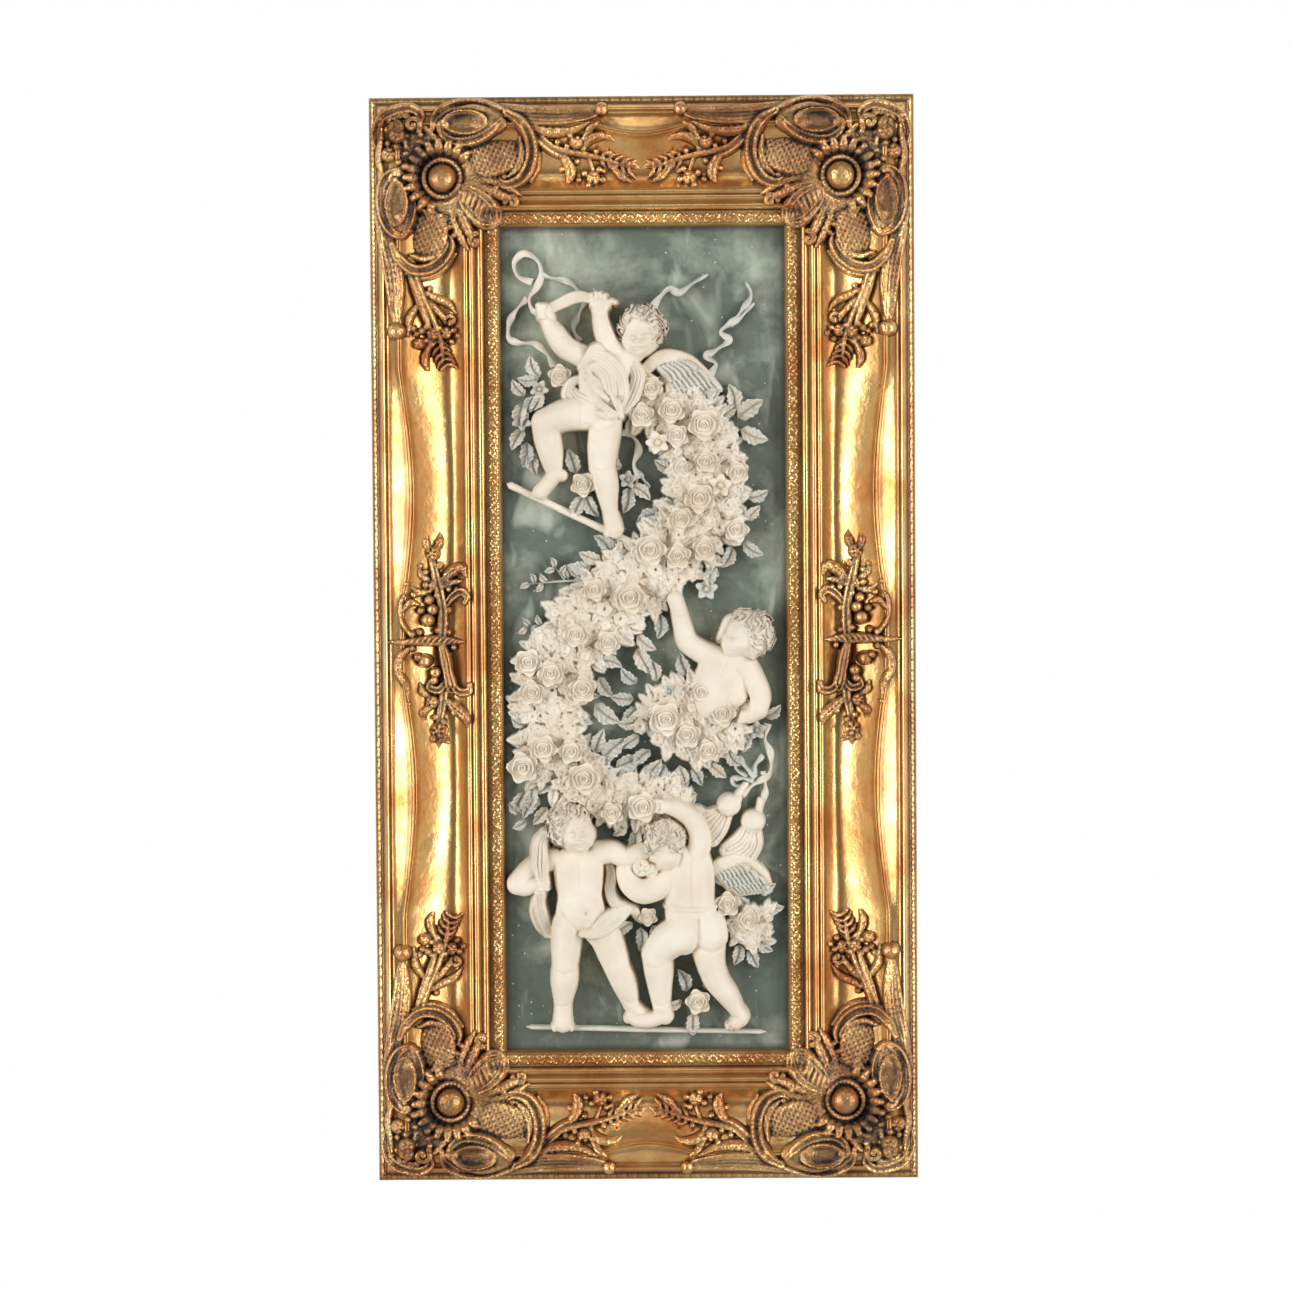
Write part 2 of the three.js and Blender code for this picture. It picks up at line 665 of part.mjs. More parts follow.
const panel = new THREE.Group();
for (const [name, made] of Object.entries(rails)) {
  panel.add(meshOf(name, made, gold));
}
for (const [name, made] of Object.entries(castings)) {
  panel.add(meshOf(name, made.subtract(seat), gold));
}
panel.add(meshOf("relief_panel", reliefPanel(), ivory));

export default panel;
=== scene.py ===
import math

import bpy
import numpy as np
from mathutils import Matrix, Vector


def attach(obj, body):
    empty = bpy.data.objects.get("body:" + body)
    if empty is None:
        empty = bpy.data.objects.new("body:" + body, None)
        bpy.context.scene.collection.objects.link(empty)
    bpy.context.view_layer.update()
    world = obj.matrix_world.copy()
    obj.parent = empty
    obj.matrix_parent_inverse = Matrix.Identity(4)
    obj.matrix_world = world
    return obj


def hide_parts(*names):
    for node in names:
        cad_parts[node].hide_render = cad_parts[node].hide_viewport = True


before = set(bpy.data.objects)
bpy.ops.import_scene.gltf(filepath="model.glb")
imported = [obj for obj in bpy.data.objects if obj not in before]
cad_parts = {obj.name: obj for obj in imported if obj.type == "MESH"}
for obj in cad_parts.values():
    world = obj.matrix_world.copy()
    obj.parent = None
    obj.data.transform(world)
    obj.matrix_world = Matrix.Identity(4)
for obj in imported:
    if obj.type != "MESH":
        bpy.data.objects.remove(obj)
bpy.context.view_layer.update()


# Rails: four lengths of moulded softwood, mitred at the corners, covered with gesso and
# bronze-gold leaf. The rim is carved in a slow wave, and the fine bands at both edges are
# pressed composition.
FRAME_WIDTH = 340.0
FRAME_HEIGHT = 680.0
RAIL_WIDTH = 81.0
TOP_Z = 37.0
MIDDLE_Z = TOP_Z - FRAME_HEIGHT / 2
JOINT_GAP = 0.3


def quads(rows, columns, wrap=False):
    """Four-sided faces of a grid of points kept row by row. Wrap joins each row's end to
    its start."""
    start = np.arange(rows - 1)[:, None] * columns
    here = np.arange(columns if wrap else columns - 1)
    after = (here + 1) % columns
    faces = [start + here, start + after, start + columns + after, start + columns + here]
    return np.stack(faces, -1).reshape(-1, 4)


def sheet(points, wrap=False, **marks):
    """A grid of points as a sheet: its points, its faces, and named values at each point."""
    rows, columns = points.shape[:2]
    values = {k: np.broadcast_to(v, (rows, columns)).ravel() for k, v in marks.items()}
    return {"at": points.reshape(-1, 3), "faces": [quads(rows, columns, wrap)], "marks": values}


def build(name, sheets, material, nodes, crease=None):
    """One object from sheets drawn in millimetres, standing for the named CAD nodes."""
    starts = np.cumsum([0] + [len(s["at"]) for s in sheets])
    at = np.concatenate([s["at"] for s in sheets]) * 0.001
    blocks = [f + start for s, start in zip(sheets, starts) for f in s["faces"]]
    sizes = np.concatenate([np.full(len(b), b.shape[1]) for b in blocks])
    mesh = bpy.data.meshes.new(name)
    mesh.vertices.add(len(at))
    mesh.vertices.foreach_set("co", at.astype(np.float32).ravel())
    mesh.loops.add(int(sizes.sum()))
    corners = np.concatenate([b.ravel() for b in blocks])
    mesh.loops.foreach_set("vertex_index", corners.astype(np.int32))
    mesh.polygons.add(len(sizes))
    first = np.concatenate([[0], np.cumsum(sizes)[:-1]])
    mesh.polygons.foreach_set("loop_start", first.astype(np.int32))
    mesh.update(calc_edges=True)
    mesh.polygons.foreach_set("use_smooth", np.ones(len(sizes), bool))
    if crease is not None:
        mesh.set_sharp_from_angle(angle=math.radians(crease))
    for key in sorted({k for s in sheets for k in s["marks"]}):
        parts = [s["marks"].get(key, np.zeros(len(s["at"]))) for s in sheets]
        mark = mesh.attributes.new(key, "FLOAT", "POINT")
        mark.data.foreach_set("value", np.concatenate(parts).astype(np.float32))
    mesh.materials.append(material)
    piece = bpy.data.objects.new(name, mesh)
    bpy.context.scene.collection.objects.link(piece)
    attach(piece, "root")
    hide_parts(*nodes)
    return piece


def bead(across, middle, half, rise):
    """A half-round moulding: rise * sqrt(1 - ((across - middle) / half) ** 2)."""
    share = (across - middle) / half
    return rise * np.sqrt(np.clip(1 - share * share, 0, 1))


def rail_profile(q):
    """Height of the face over the drawn distance q in from the outer edge. The scoop falls
    as a power of the distance to its floor, and the mouldings are half-rounds laid on it."""
    rim_at, rim_height = zip(
        (0, 20), (1, 21.4), (3, 22.4), (4.4, 21.6), (5, 22), (8, 28.5), (9.4, 30.2), (12.5, 31.2),
        (17.5, 35.6), (20.5, 34.4),
    )
    outer = np.interp(q, rim_at, rim_height)
    share = np.clip((q - 20.5) / 36.5, 0, 1)
    falling = 17.5 + 16.9 * np.clip(1 - share / 0.75, 0, 1) ** 1.5
    rising = 5.5 * np.clip((share - 0.75) / 0.25, 0, 1) ** 1.8
    inner = np.interp(q, [57, 70.2, 71, 72, 77, 79, 81], [23, 21.8, 18.6, 18.6, 20.2, 19.9, 16.5])
    height = np.where(q < 20.5, outer, np.where(q < 57, falling + rising, inner))
    height = height + bead(q, 6.9, 2.6, 2.2) - bead(q, 11, 1.6, 1.1)
    height = height + bead(q, 18.1, 0.95, 1.9) + bead(q, 19.7, 0.75, 1.5)
    height = height + bead(q, 59.7, 1.35, 1.2) + bead(q, 63.2, 1.35, 1.2)
    return height - bead(q, 65.9, 0.9, 0.9) + bead(q, 68.8, 1.6, 1.3)


def rim_wave(along, is_side):
    """How far the rim stands in from 17.5 mm: half a sine between the castings on each half
    of a side rail, and one across the middle of a short rail."""
    near, far, swing = (20, 180, 7.1) if is_side else (-34, 34, 6)
    share = (np.abs(along) - near) / (far - near)
    return 17.5 + np.where((share > 0) & (share < 1), swing * np.sin(np.pi * share), 0)


def drawn_to_real(q, rim):
    """Distance in from the edge for a drawn distance q, stretched about the waving rim."""
    band = 12.5 + (q - 12.5) / 5 * (rim - 12.5)
    scoop = rim + 3 + (q - 20.5) / 36.5 * (54 - rim)
    crest = rim + (q - 17.5)
    return np.where(
        q <= 12.5, q, np.where(q <= 17.5, band, np.where(q <= 20.5, crest, np.where(q <= 57, scoop, q)))
    )


def on_rail(side, along, inward, height):
    """Points of a rail from its drawing as the top rail, turned about Y for its own side."""
    if side == "top":
        x, z = along, TOP_Z - inward
    elif side == "bottom":
        x, z = -along, TOP_Z - FRAME_HEIGHT + inward
    elif side == "left":
        x, z = inward - FRAME_WIDTH / 2, MIDDLE_Z + along
    else:
        x, z = FRAME_WIDTH / 2 - inward, MIDDLE_Z - along
    return np.stack(np.broadcast_arrays(x, -height, z), -1)


def hollows(height_at, q, reach):
    """How deep a line of the moulding lies below its neighbours, from 0 to 1."""
    around = (height_at(q - reach) + height_at(q + reach)) / 2
    return np.clip((around - height_at(q)) / 1.3, 0, 1)


def scroll_band(along, across):
    """The pressed running scroll: a sine stem, lobes on its outer bends and fine pearls.
    Across runs from -1 to 1, and the height is in millimetres."""
    turn = 2 * np.pi * along / 8.6
    stem = np.exp(-(((across - 0.55 * np.sin(turn)) / 0.20) ** 2))
    lobes = np.exp(-(((across + 0.50 * np.sin(turn + 0.5)) / 0.26) ** 2)) * np.abs(np.cos(turn * 1.5))
    pearls = np.cos(2 * np.pi * along / 2.3 + 2.5 * across)
    pearls = pearls * np.cos(5.2 * across + 0.7 * np.sin(turn * 0.37))
    return (1.15 * np.maximum(stem, 0.9 * lobes) + 0.38 * pearls) * np.clip(4 - 4 * np.abs(across), 0, 1)


def edge_beads(along, across):
    """The pressed outer edge: long and short beads by turns, 6.6 mm to the pair."""
    place = np.mod(along, 6.6)
    long_bead = bead(place, 2.1, 1.9, 0.6)
    short_bead = bead(place, 5.3, 0.9, 0.5)
    return np.maximum(long_bead, short_bead) * np.sqrt(np.clip(1 - across * across, 0, 1))


def rail_sheets(side):
    """One rail: its moulded body with the rebate behind, closed at both mitres, and the two
    pressed bands on its edges. It is drawn as the top rail, at run from -1 to 1 along it."""
    is_side = side in ("left", "right")
    length = FRAME_HEIGHT if is_side else FRAME_WIDTH
    q = np.concatenate([
        [0, 0.6], np.linspace(4.5, 12.5, 15), np.linspace(13.1, 17, 7), np.linspace(17.15, 20.5, 13),
        20.5 + 36.5 * np.linspace(0, 1, 16)[1:] ** 0.9, np.linspace(58.2, 71.2, 28), [
            72, 77.2, 78.2, 79.4, 81,
        ],
    ])
    steps = round(length / 2.4)
    run = np.linspace(-1, 1, steps + 1)[:, None]
    rim = rim_wave(run * length / 2, is_side)
    inward = drawn_to_real(q[None, :], rim)
    grain = 0.12 * np.sin(run * length * 0.9) * np.sin(q * 1.3 + run * 17)
    height = rail_profile(q)[None, :] + np.where((q > 12.6) & (q < 17.2), grain, 0)
    # Grooves of the moulding are marked darker: tone wash and painted shade.
    hollow = np.broadcast_to(hollows(rail_profile, q, 1.2), height.shape)
    back = np.array([[RAIL_WIDTH, 12], [74, 12], [74, 0], [0, 0]])
    inward = np.concatenate([inward, np.broadcast_to(back[:, 0], (steps + 1, 4))], 1)
    height = np.concatenate([height, np.broadcast_to(back[:, 1], (steps + 1, 4))], 1)
    hollow = np.concatenate([hollow, np.zeros((steps + 1, 4))], 1)
    along = run * (length / 2 - inward - JOINT_GAP / 2)
    bare = np.zeros(height.shape)
    bare[:, -4:] = 1
    body = sheet(on_rail(side, along, inward, height), wrap=True, hollow=hollow, bare=bare)
    ring = np.arange(height.shape[1])[None, :]
    body["faces"] += [ring[:, ::-1], ring + steps * height.shape[1]]
    sheets = [body]
    for first, last, columns, pitch, pattern, sink in (
        (0.55, 4.4, 7, 0.95, edge_beads, 0.1), (71.4, 80.3, 15, 0.75, scroll_band, 0.2),
    ):
        across = np.linspace(-1, 1, columns)
        inward = ((first + last) / 2 + across * (last - first) / 2)[None, :]
        run = np.linspace(-1, 1, round((length - 2 * first) / pitch))[:, None]
        along = run * (length / 2 - inward - JOINT_GAP / 2)
        raised = pattern(along, across[None, :]) * (np.abs(across) < 0.99)
        height = rail_profile(inward) + raised - sink
        # The low ground of the pressed band is marked darker: tone wash and painted shade.
        marks = np.clip(0.80 - raised, 0, 1)
        sheets.append(sheet(on_rail(side, along, inward, height), hollow=marks))
    return sheets


def new_material(name):
    """A node material: its tree, a way to add a node with settings, and its main shader."""
    material = bpy.data.materials.new(name)
    material.use_nodes = True
    tree = material.node_tree
    shader = tree.nodes["Principled BSDF"]

    def add(kind, inputs=(), **settings):
        """One node with its settings, each input a value or another node's output."""
        node = tree.nodes.new(kind)
        for key, value in settings.items():
            setattr(node, key, value)
        for key, value in dict(inputs).items():
            if isinstance(value, bpy.types.NodeSocket):
                tree.links.new(value, node.inputs[key])
            else:
                node.inputs[key].default_value = value
        return node

    return material, tree, add, shader


def srgb(red, green, blue):
    """A screen colour as linear light."""
    screen = (red, green, blue)
    light = [((c + 0.055) / 1.055) ** 2.4 if c > 0.04 else c / 12.92 for c in screen]
    return (*light, 1.0)


def blend_colour(add, share, first, second):
    """A node that goes from the first colour to the second by a share."""
    node = add("ShaderNodeMix", data_type="RGBA")
    tree = node.id_data
    for socket, value in ((node.inputs[0], share), (node.inputs[6], first), (node.inputs[7], second)):
        if isinstance(value, bpy.types.NodeSocket):
            tree.links.new(value, socket)
        else:
            socket.default_value = value
    return node.outputs[2]


def mark_of(add, name):
    """The named value at each point of the mesh."""
    return add("ShaderNodeAttribute", attribute_name=name).outputs["Fac"]


def noise(add, place, scale, detail, **more):
    """Clouds, specks or grain: a noise with about scale spots to the metre."""
    inputs = {"Vector": place, "Scale": scale, "Detail": detail, **more}
    return add("ShaderNodeTexNoise", inputs).outputs["Fac"]


def spread(add, value, low, high, **to):
    """The value stretched so that low gives 0 and high gives 1, or the ends named in to."""
    inputs = {"Value": value, "From Min": low, "From Max": high, **to}
    return add("ShaderNodeMapRange", inputs).outputs["Result"]


def reckon(add, operation, *values, **settings):
    """One sum on numbers or on the outputs of nodes."""
    node = add("ShaderNodeMath", dict(enumerate(values)), operation=operation, **settings)
    return node.outputs["Value"]


def reckon_place(add, operation, place, by):
    """One sum on a place, part by part."""
    return add("ShaderNodeVectorMath", {0: place, 1: by}, operation=operation).outputs["Vector"]


def finish_coat(tree, add, shader, colour, height, strength, distance):
    """Joins a colour and a slight bump to the main shader."""
    tree.links.new(colour, shader.inputs["Base Color"])
    bump = add("ShaderNodeBump", {"Height": height, "Strength": strength, "Distance": distance})
    tree.links.new(bump.outputs["Normal"], shader.inputs["Normal"])


def gilding(name, bright, warm, dark, dust, dents, dent_scale):
    """Rubbed bronze leaf: bright on the heights, warm umber plus painted shade where the
    recesses hold the tone wash, with clouds of wear, fine specks and a slightly hammered surface.
    Where the attribute bare is 1, behind, there is stained wood instead, drawn out along its grain."""
    material, tree, add, shader = new_material(name)
    place = add("ShaderNodeTexCoord").outputs["Object"]
    hollow = mark_of(add, "hollow")
    clouds = noise(add, place, 26.0, 5.0, Roughness=0.6)
    specks = noise(add, place, 420.0, 3.0, Roughness=0.7)
    leaf = blend_colour(add, spread(add, clouds, 0.38, 0.66), bright, warm)
    spots = reckon(add, "MULTIPLY", spread(add, specks, 0.60, 0.72), 0.35)
    leaf = blend_colour(add, spots, leaf, dark)
    uneven = reckon(add, "MULTIPLY_ADD", clouds, 0.55, 0.75)
    # The recesses take the dark and dust colours: a real tone wash together with painted shade.
    wash = reckon(add, "MULTIPLY", hollow, uneven, use_clamp=True)
    dusty = spread(add, specks, 0.50, 0.66, **{"To Max": 0.5})
    leaf = blend_colour(add, wash, leaf, blend_colour(add, dusty, dark, dust))
    bare = mark_of(add, "bare")
    drawn_out = reckon_place(add, "MULTIPLY", place, (1, 1, 0.12))
    figure = noise(add, drawn_out, 160.0, 4.0, Distortion=0.6)
    wood = blend_colour(add, figure, srgb(0.33, 0.23, 0.15), srgb(0.58, 0.44, 0.30))
    leaf = blend_colour(add, bare, leaf, wood)
    dull = reckon(add, "MAXIMUM", wash, bare)
    shine = add("ShaderNodeMapRange", {"Value": dull, "To Min": 0.96, "To Max": 0.25}).outputs["Result"]
    metal = reckon(add, "MULTIPLY", shine, reckon(add, "SUBTRACT", 1.0, bare))
    tree.links.new(metal, shader.inputs["Metallic"])
    gloss = spread(add, clouds, 0.3, 0.7, **{"To Min": 0.24, "To Max": 0.40})
    tree.links.new(reckon(add, "MULTIPLY_ADD", bare, 0.5, gloss), shader.inputs["Roughness"])
    ripple = noise(add, place, dent_scale, 3.0, Roughness=0.55)
    finish_coat(tree, add, shader, leaf, ripple, strength=dents, distance=0.0012)
    return material


gilt_wood = gilding(
    "gilt_wood", bright=srgb(0.97, 0.80, 0.53), warm=srgb(0.82, 0.56, 0.32),
    dark=srgb(0.27, 0.17, 0.11), dust=srgb(0.36, 0.24, 0.15), dents=0.35, dent_scale=150.0,
)
for side in ("top", "bottom", "left", "right"):
    build("gilt_rail_" + side, rail_sheets(side), gilt_wood, ["rail_" + side], crease=40)


# Castings: scrolls, shells, trellis and sprays of flowers, cast in composition, pinned and
# glued over the mitres and the middles of the side rails, then gilded and toned with the rest.
# A corner is drawn CORNER_REACH square, ends at CASTING_TOP and is SUNK_IN to the rail.
CORNER_REACH = 170
CASTING_TOP = 47.2
SUNK_IN = 1.6
NOTHING_THERE = -60.0


def smooth_line(stations, spacing):
    """Stations of any numbers joined by a Catmull-Rom curve, sampled about every spacing in
    their first two numbers."""
    p = np.asarray(stations, float)
    p = np.vstack([2 * p[0] - p[1], p, 2 * p[-1] - p[-2]])
    lines = []
    for a, b, c, d in zip(p[:-3], p[1:-2], p[2:-1], p[3:]):
        count = max(2, int(np.hypot(*(c - b)[:2]) / spacing) + 1)
        t = np.linspace(0, 1, count, endpoint=False)[:, None]
        bow, swing = 2 * a - 5 * b + 4 * c - d, 3 * b - a - 3 * c + d
        lines.append(0.5 * (2 * b + (c - a) * t + bow * t**2 + swing * t**3))
    lines.append(p[-2:-1])
    return np.concatenate(lines)


def section(kind, q, run):
    """Height of a stroke across its half width, q from -1 to 1, and along its run in mm."""
    s = np.abs(q)
    dome = np.sqrt(np.clip(1 - q * q, 0, 1))
    if kind == "scroll":
        lip = np.sqrt(np.clip(1 - ((s - 0.8) / 0.22) ** 2, 0, 1))
        notch = 0.12 * np.cos(2 * np.pi * run / 2.3) * (s > 0.5)
        grooves = 0.10 * np.cos(4 * np.pi * s)
        rim = 0.8 * (s < 0.9) + 0.2 * lip + 0.6 * (s >= 0.9) * (1.05 - s) / 0.15
        return notch + grooves + np.where(s < 0.6, 0.25 + 0.55 * (s / 0.6) ** 2, rim)
    if kind == "reeds":
        return dome * (0.62 + 0.38 * np.abs(np.cos(1.5 * np.pi * q)))
    if kind == "leaf":
        t = s / (0.70 + 0.30 * np.abs(np.sin(np.pi * run / 4.6)))
        veins = 0.86 + 0.14 * np.cos(2 * np.pi * (run / 2.7 + 1.2 * s))
        return np.clip(1 - t, 0, 1) ** 0.55 * veins - 0.36 * np.exp(-((s / 0.16) ** 2))
    if kind == "pearls":
        return dome * (0.35 + 0.65 * np.abs(np.sin(np.pi * run / 2.6)))
    if kind == "folds":
        return dome * (0.68 + 0.32 * np.cos(4 * np.pi * q + 1.2 * np.sin(run / 5)))
    if kind == "feather":
        barbs = 0.12 * np.cos(2 * np.pi * (run / 1.5 + s))
        return (1 - s) ** 0.7 * (0.85 + barbs) + 0.25 * (s < 0.2)
    if kind == "fluted":
        return dome * (0.72 + 0.28 * np.cos(2 * np.pi * (run / 3.4 + 0.5 * q)))
    return dome


def stroke(field, a, b, base, kind, flat, stations, fall=4.5):
    """Lays one stroke on a height field. Stations are (a, b, lift, half width), base is the
    height underneath, and past its edge the stroke falls away by fall to 1."""
    line = smooth_line(stations, 0.9)
    reach = 1.5 + (1 + flat / fall) * line[:, 3].max() + (line[:, 2].max() + 7) / fall
    near = (a > line[:, 0].min() - reach) & (a < line[:, 0].max() + reach)
    near &= (b > line[:, 1].min() - reach) & (b < line[:, 1].max() + reach)
    pa, pb = a[near], b[near]
    ahead = np.gradient(line[:, :2], axis=0)
    ahead /= np.hypot(ahead[:, 0], ahead[:, 1])[:, None] + 1e-9
    travelled = np.concatenate([[0], np.cumsum(np.hypot(*np.diff(line[:, :2], axis=0).T))])
    da, db = pa[:, None] - line[:, 0], pb[:, None] - line[:, 1]
    gap = np.hypot(da, db)
    k = np.argmin(gap / np.maximum(line[:, 3], 0.6), axis=1)
    rows = np.arange(len(k))
    da, db = da[rows, k], db[rows, k]
    lift, half = line[k, 2], np.maximum(line[k, 3], 0.6)
    along = da * ahead[k, 0] + db * ahead[k, 1]
    across = da * ahead[k, 1] - db * ahead[k, 0]
    past = np.maximum(np.abs(along) - 0.7, 0)
    offset = np.hypot(across, past) * np.where(across < 0, -1, 1)
    q = np.clip(offset / half, -1, 1)
    centre = base_at(base, a, b, line[k, 0], line[k, 1])
    ground = 0.5 * centre + 0.5 * base[near]
    beyond = np.maximum(np.abs(offset) - half, 0)
    height = ground + lift + flat * half * section(kind, q, travelled[k] + along) - fall * beyond
    field[near] = np.maximum(field[near], height)


def base_at(base, a, b, at_a, at_b):
    """The height underneath at free points, from the nearest points of the field's grid."""
    step = a[0, 1] - a[0, 0]
    i = np.clip(np.rint((at_b - b[0, 0]) / step).astype(int), 0, base.shape[0] - 1)
    j = np.clip(np.rint((at_a - a[0, 0]) / step).astype(int), 0, base.shape[1] - 1)
    return base[i, j]


def boss(field, a, b, base, centre, lift, radius, petals=0, rise=1.0):
    """A ball, or with petals a small rosette: lobes by the cosine of the angle, a pearl in
    the middle."""
    da, db = a - centre[0], b - centre[1]
    q = np.hypot(da, db) / radius
    dome = np.sqrt(np.clip(1 - q * q, 0, 1))
    if petals:
        lobes = np.abs(np.cos(np.arctan2(db, da) * petals / 2 + 0.3))
        pearl = 0.55 * np.sqrt(np.clip(1 - (q / 0.33) ** 2, 0, 1))
        dome = dome * (0.35 + 0.5 * lobes * np.clip(2.2 * q, 0, 1)) + pearl
    height = base_at(base, a, b, np.array(centre[0]), np.array(centre[1])) + lift + rise * radius * dome
    height = height - 4.5 * radius * np.maximum(q - 1, 0)
    np.maximum(field, height, out=field)


def curl(centre, start_angle, turns, radius, lift, half, hand=1):
    """Stations of a volute that winds in to its eye, its width shrinking with it."""
    t = np.linspace(0, 1, 12)
    angle = start_angle + hand * turns * 2 * np.pi * t
    r = radius * (1 - t) ** 0.8
    place = (centre[0] + r * np.cos(angle), centre[1] + r * np.sin(angle))
    return np.stack([*place, lift + 1.5 * t, half * (1 - 0.55 * t)], -1)


def box_blur(grid, reach):
    """Mean over a square of 2 * reach + 1 points, by running sums."""
    for axis in (0, 1):
        padded = np.concatenate([
            np.repeat(np.take(grid, [0], axis), reach + 1, axis), grid,
            np.repeat(np.take(grid, [-1], axis), reach, axis),
        ], axis)
        total = np.cumsum(padded, axis)
        width = 2 * reach + 1
        grid = (np.take(total, range(width, total.shape[axis]), axis)
                - np.take(total, range(0, total.shape[axis] - width), axis)) / width
    return grid


def field_sheet(points, keep, turned=False, **marks):
    """The part of a height field that touches the points to keep, as a sheet."""
    rows, columns = keep.shape
    faces = quads(rows, columns)
    faces = faces[keep.ravel()[faces].any(1)]
    used = np.unique(faces)
    renumber = np.zeros(rows * columns, int)
    renumber[used] = np.arange(len(used))
    faces = renumber[faces]
    faces = faces[:, ::-1] if turned else faces
    values = {k: np.broadcast_to(v, keep.shape).ravel()[used] for k, v in marks.items()}
    return {"at": points.reshape(-1, 3)[used], "faces": [faces], "marks": values}


def trellis(field, a, b, base, centre, size, turn, lift):
    """A domed oval field under a net of ribs that cross at right angles every 3 mm."""
    da, db = a - centre[0], b - centre[1]
    u = da * math.cos(turn) + db * math.sin(turn)
    v = db * math.cos(turn) - da * math.sin(turn)
    q = np.hypot(u / size[0], v / size[1])
    net = np.maximum(np.abs(np.cos(np.pi * (u + v) / 4.2)), np.abs(np.cos(np.pi * (u - v) / 4.2))) ** 4
    height = base_at(base, a, b, np.array(centre[0]), np.array(centre[1])) + lift
    height = height + 2.6 * np.sqrt(np.clip(1 - q * q, 0, 1)) + net * (q < 1)
    height = height - 4.5 * size[1] * np.maximum(q - 1, 0)
    np.maximum(field, height, out=field)


def bowl(field, a, b, centre, size, level, rise, swell):
    """Sets a smooth oval bowl: level + rise * q^4, q from 0 in the middle to 1 at its lip,
    with a soft swelling 2.8 high on one side of it, a bell curve of the distance."""
    q = np.hypot((a - centre[0]) / size[0], (b - centre[1]) / size[1])
    swelling = 2.8 * np.exp(-((a - swell[0]) ** 2 + (b - swell[1]) ** 2) / 12)
    field[:] = np.where(q < 1, level + rise * q**4 + swelling * (1 - q**4), field)


def rail_height(inward):
    """Height of the bare rail, held level past its two edges."""
    return rail_profile(np.clip(inward, 0, RAIL_WIDTH))


def casting_tools(field, a, b, base, wider=1.0):
    """Three tools that work on one casting: lay for a stroke, wider times its drawn width,
    leaf for the common leaf, and studs for balls or small rosettes, each (a, b, radius), at
    one lift."""

    def lay(kind, flat, stations):
        drawn = [(p, q, lift, wider * half) for p, q, lift, half in stations]
        stroke(field, a, b, base, kind, flat, drawn)

    def leaf(stations):
        lay("leaf", 1.1, stations)

    def studs(lift, places, petals=0):
        for at_a, at_b, radius in places:
            boss(field, a, b, base, (at_a, at_b), lift, radius, petals)

    return lay, leaf, studs


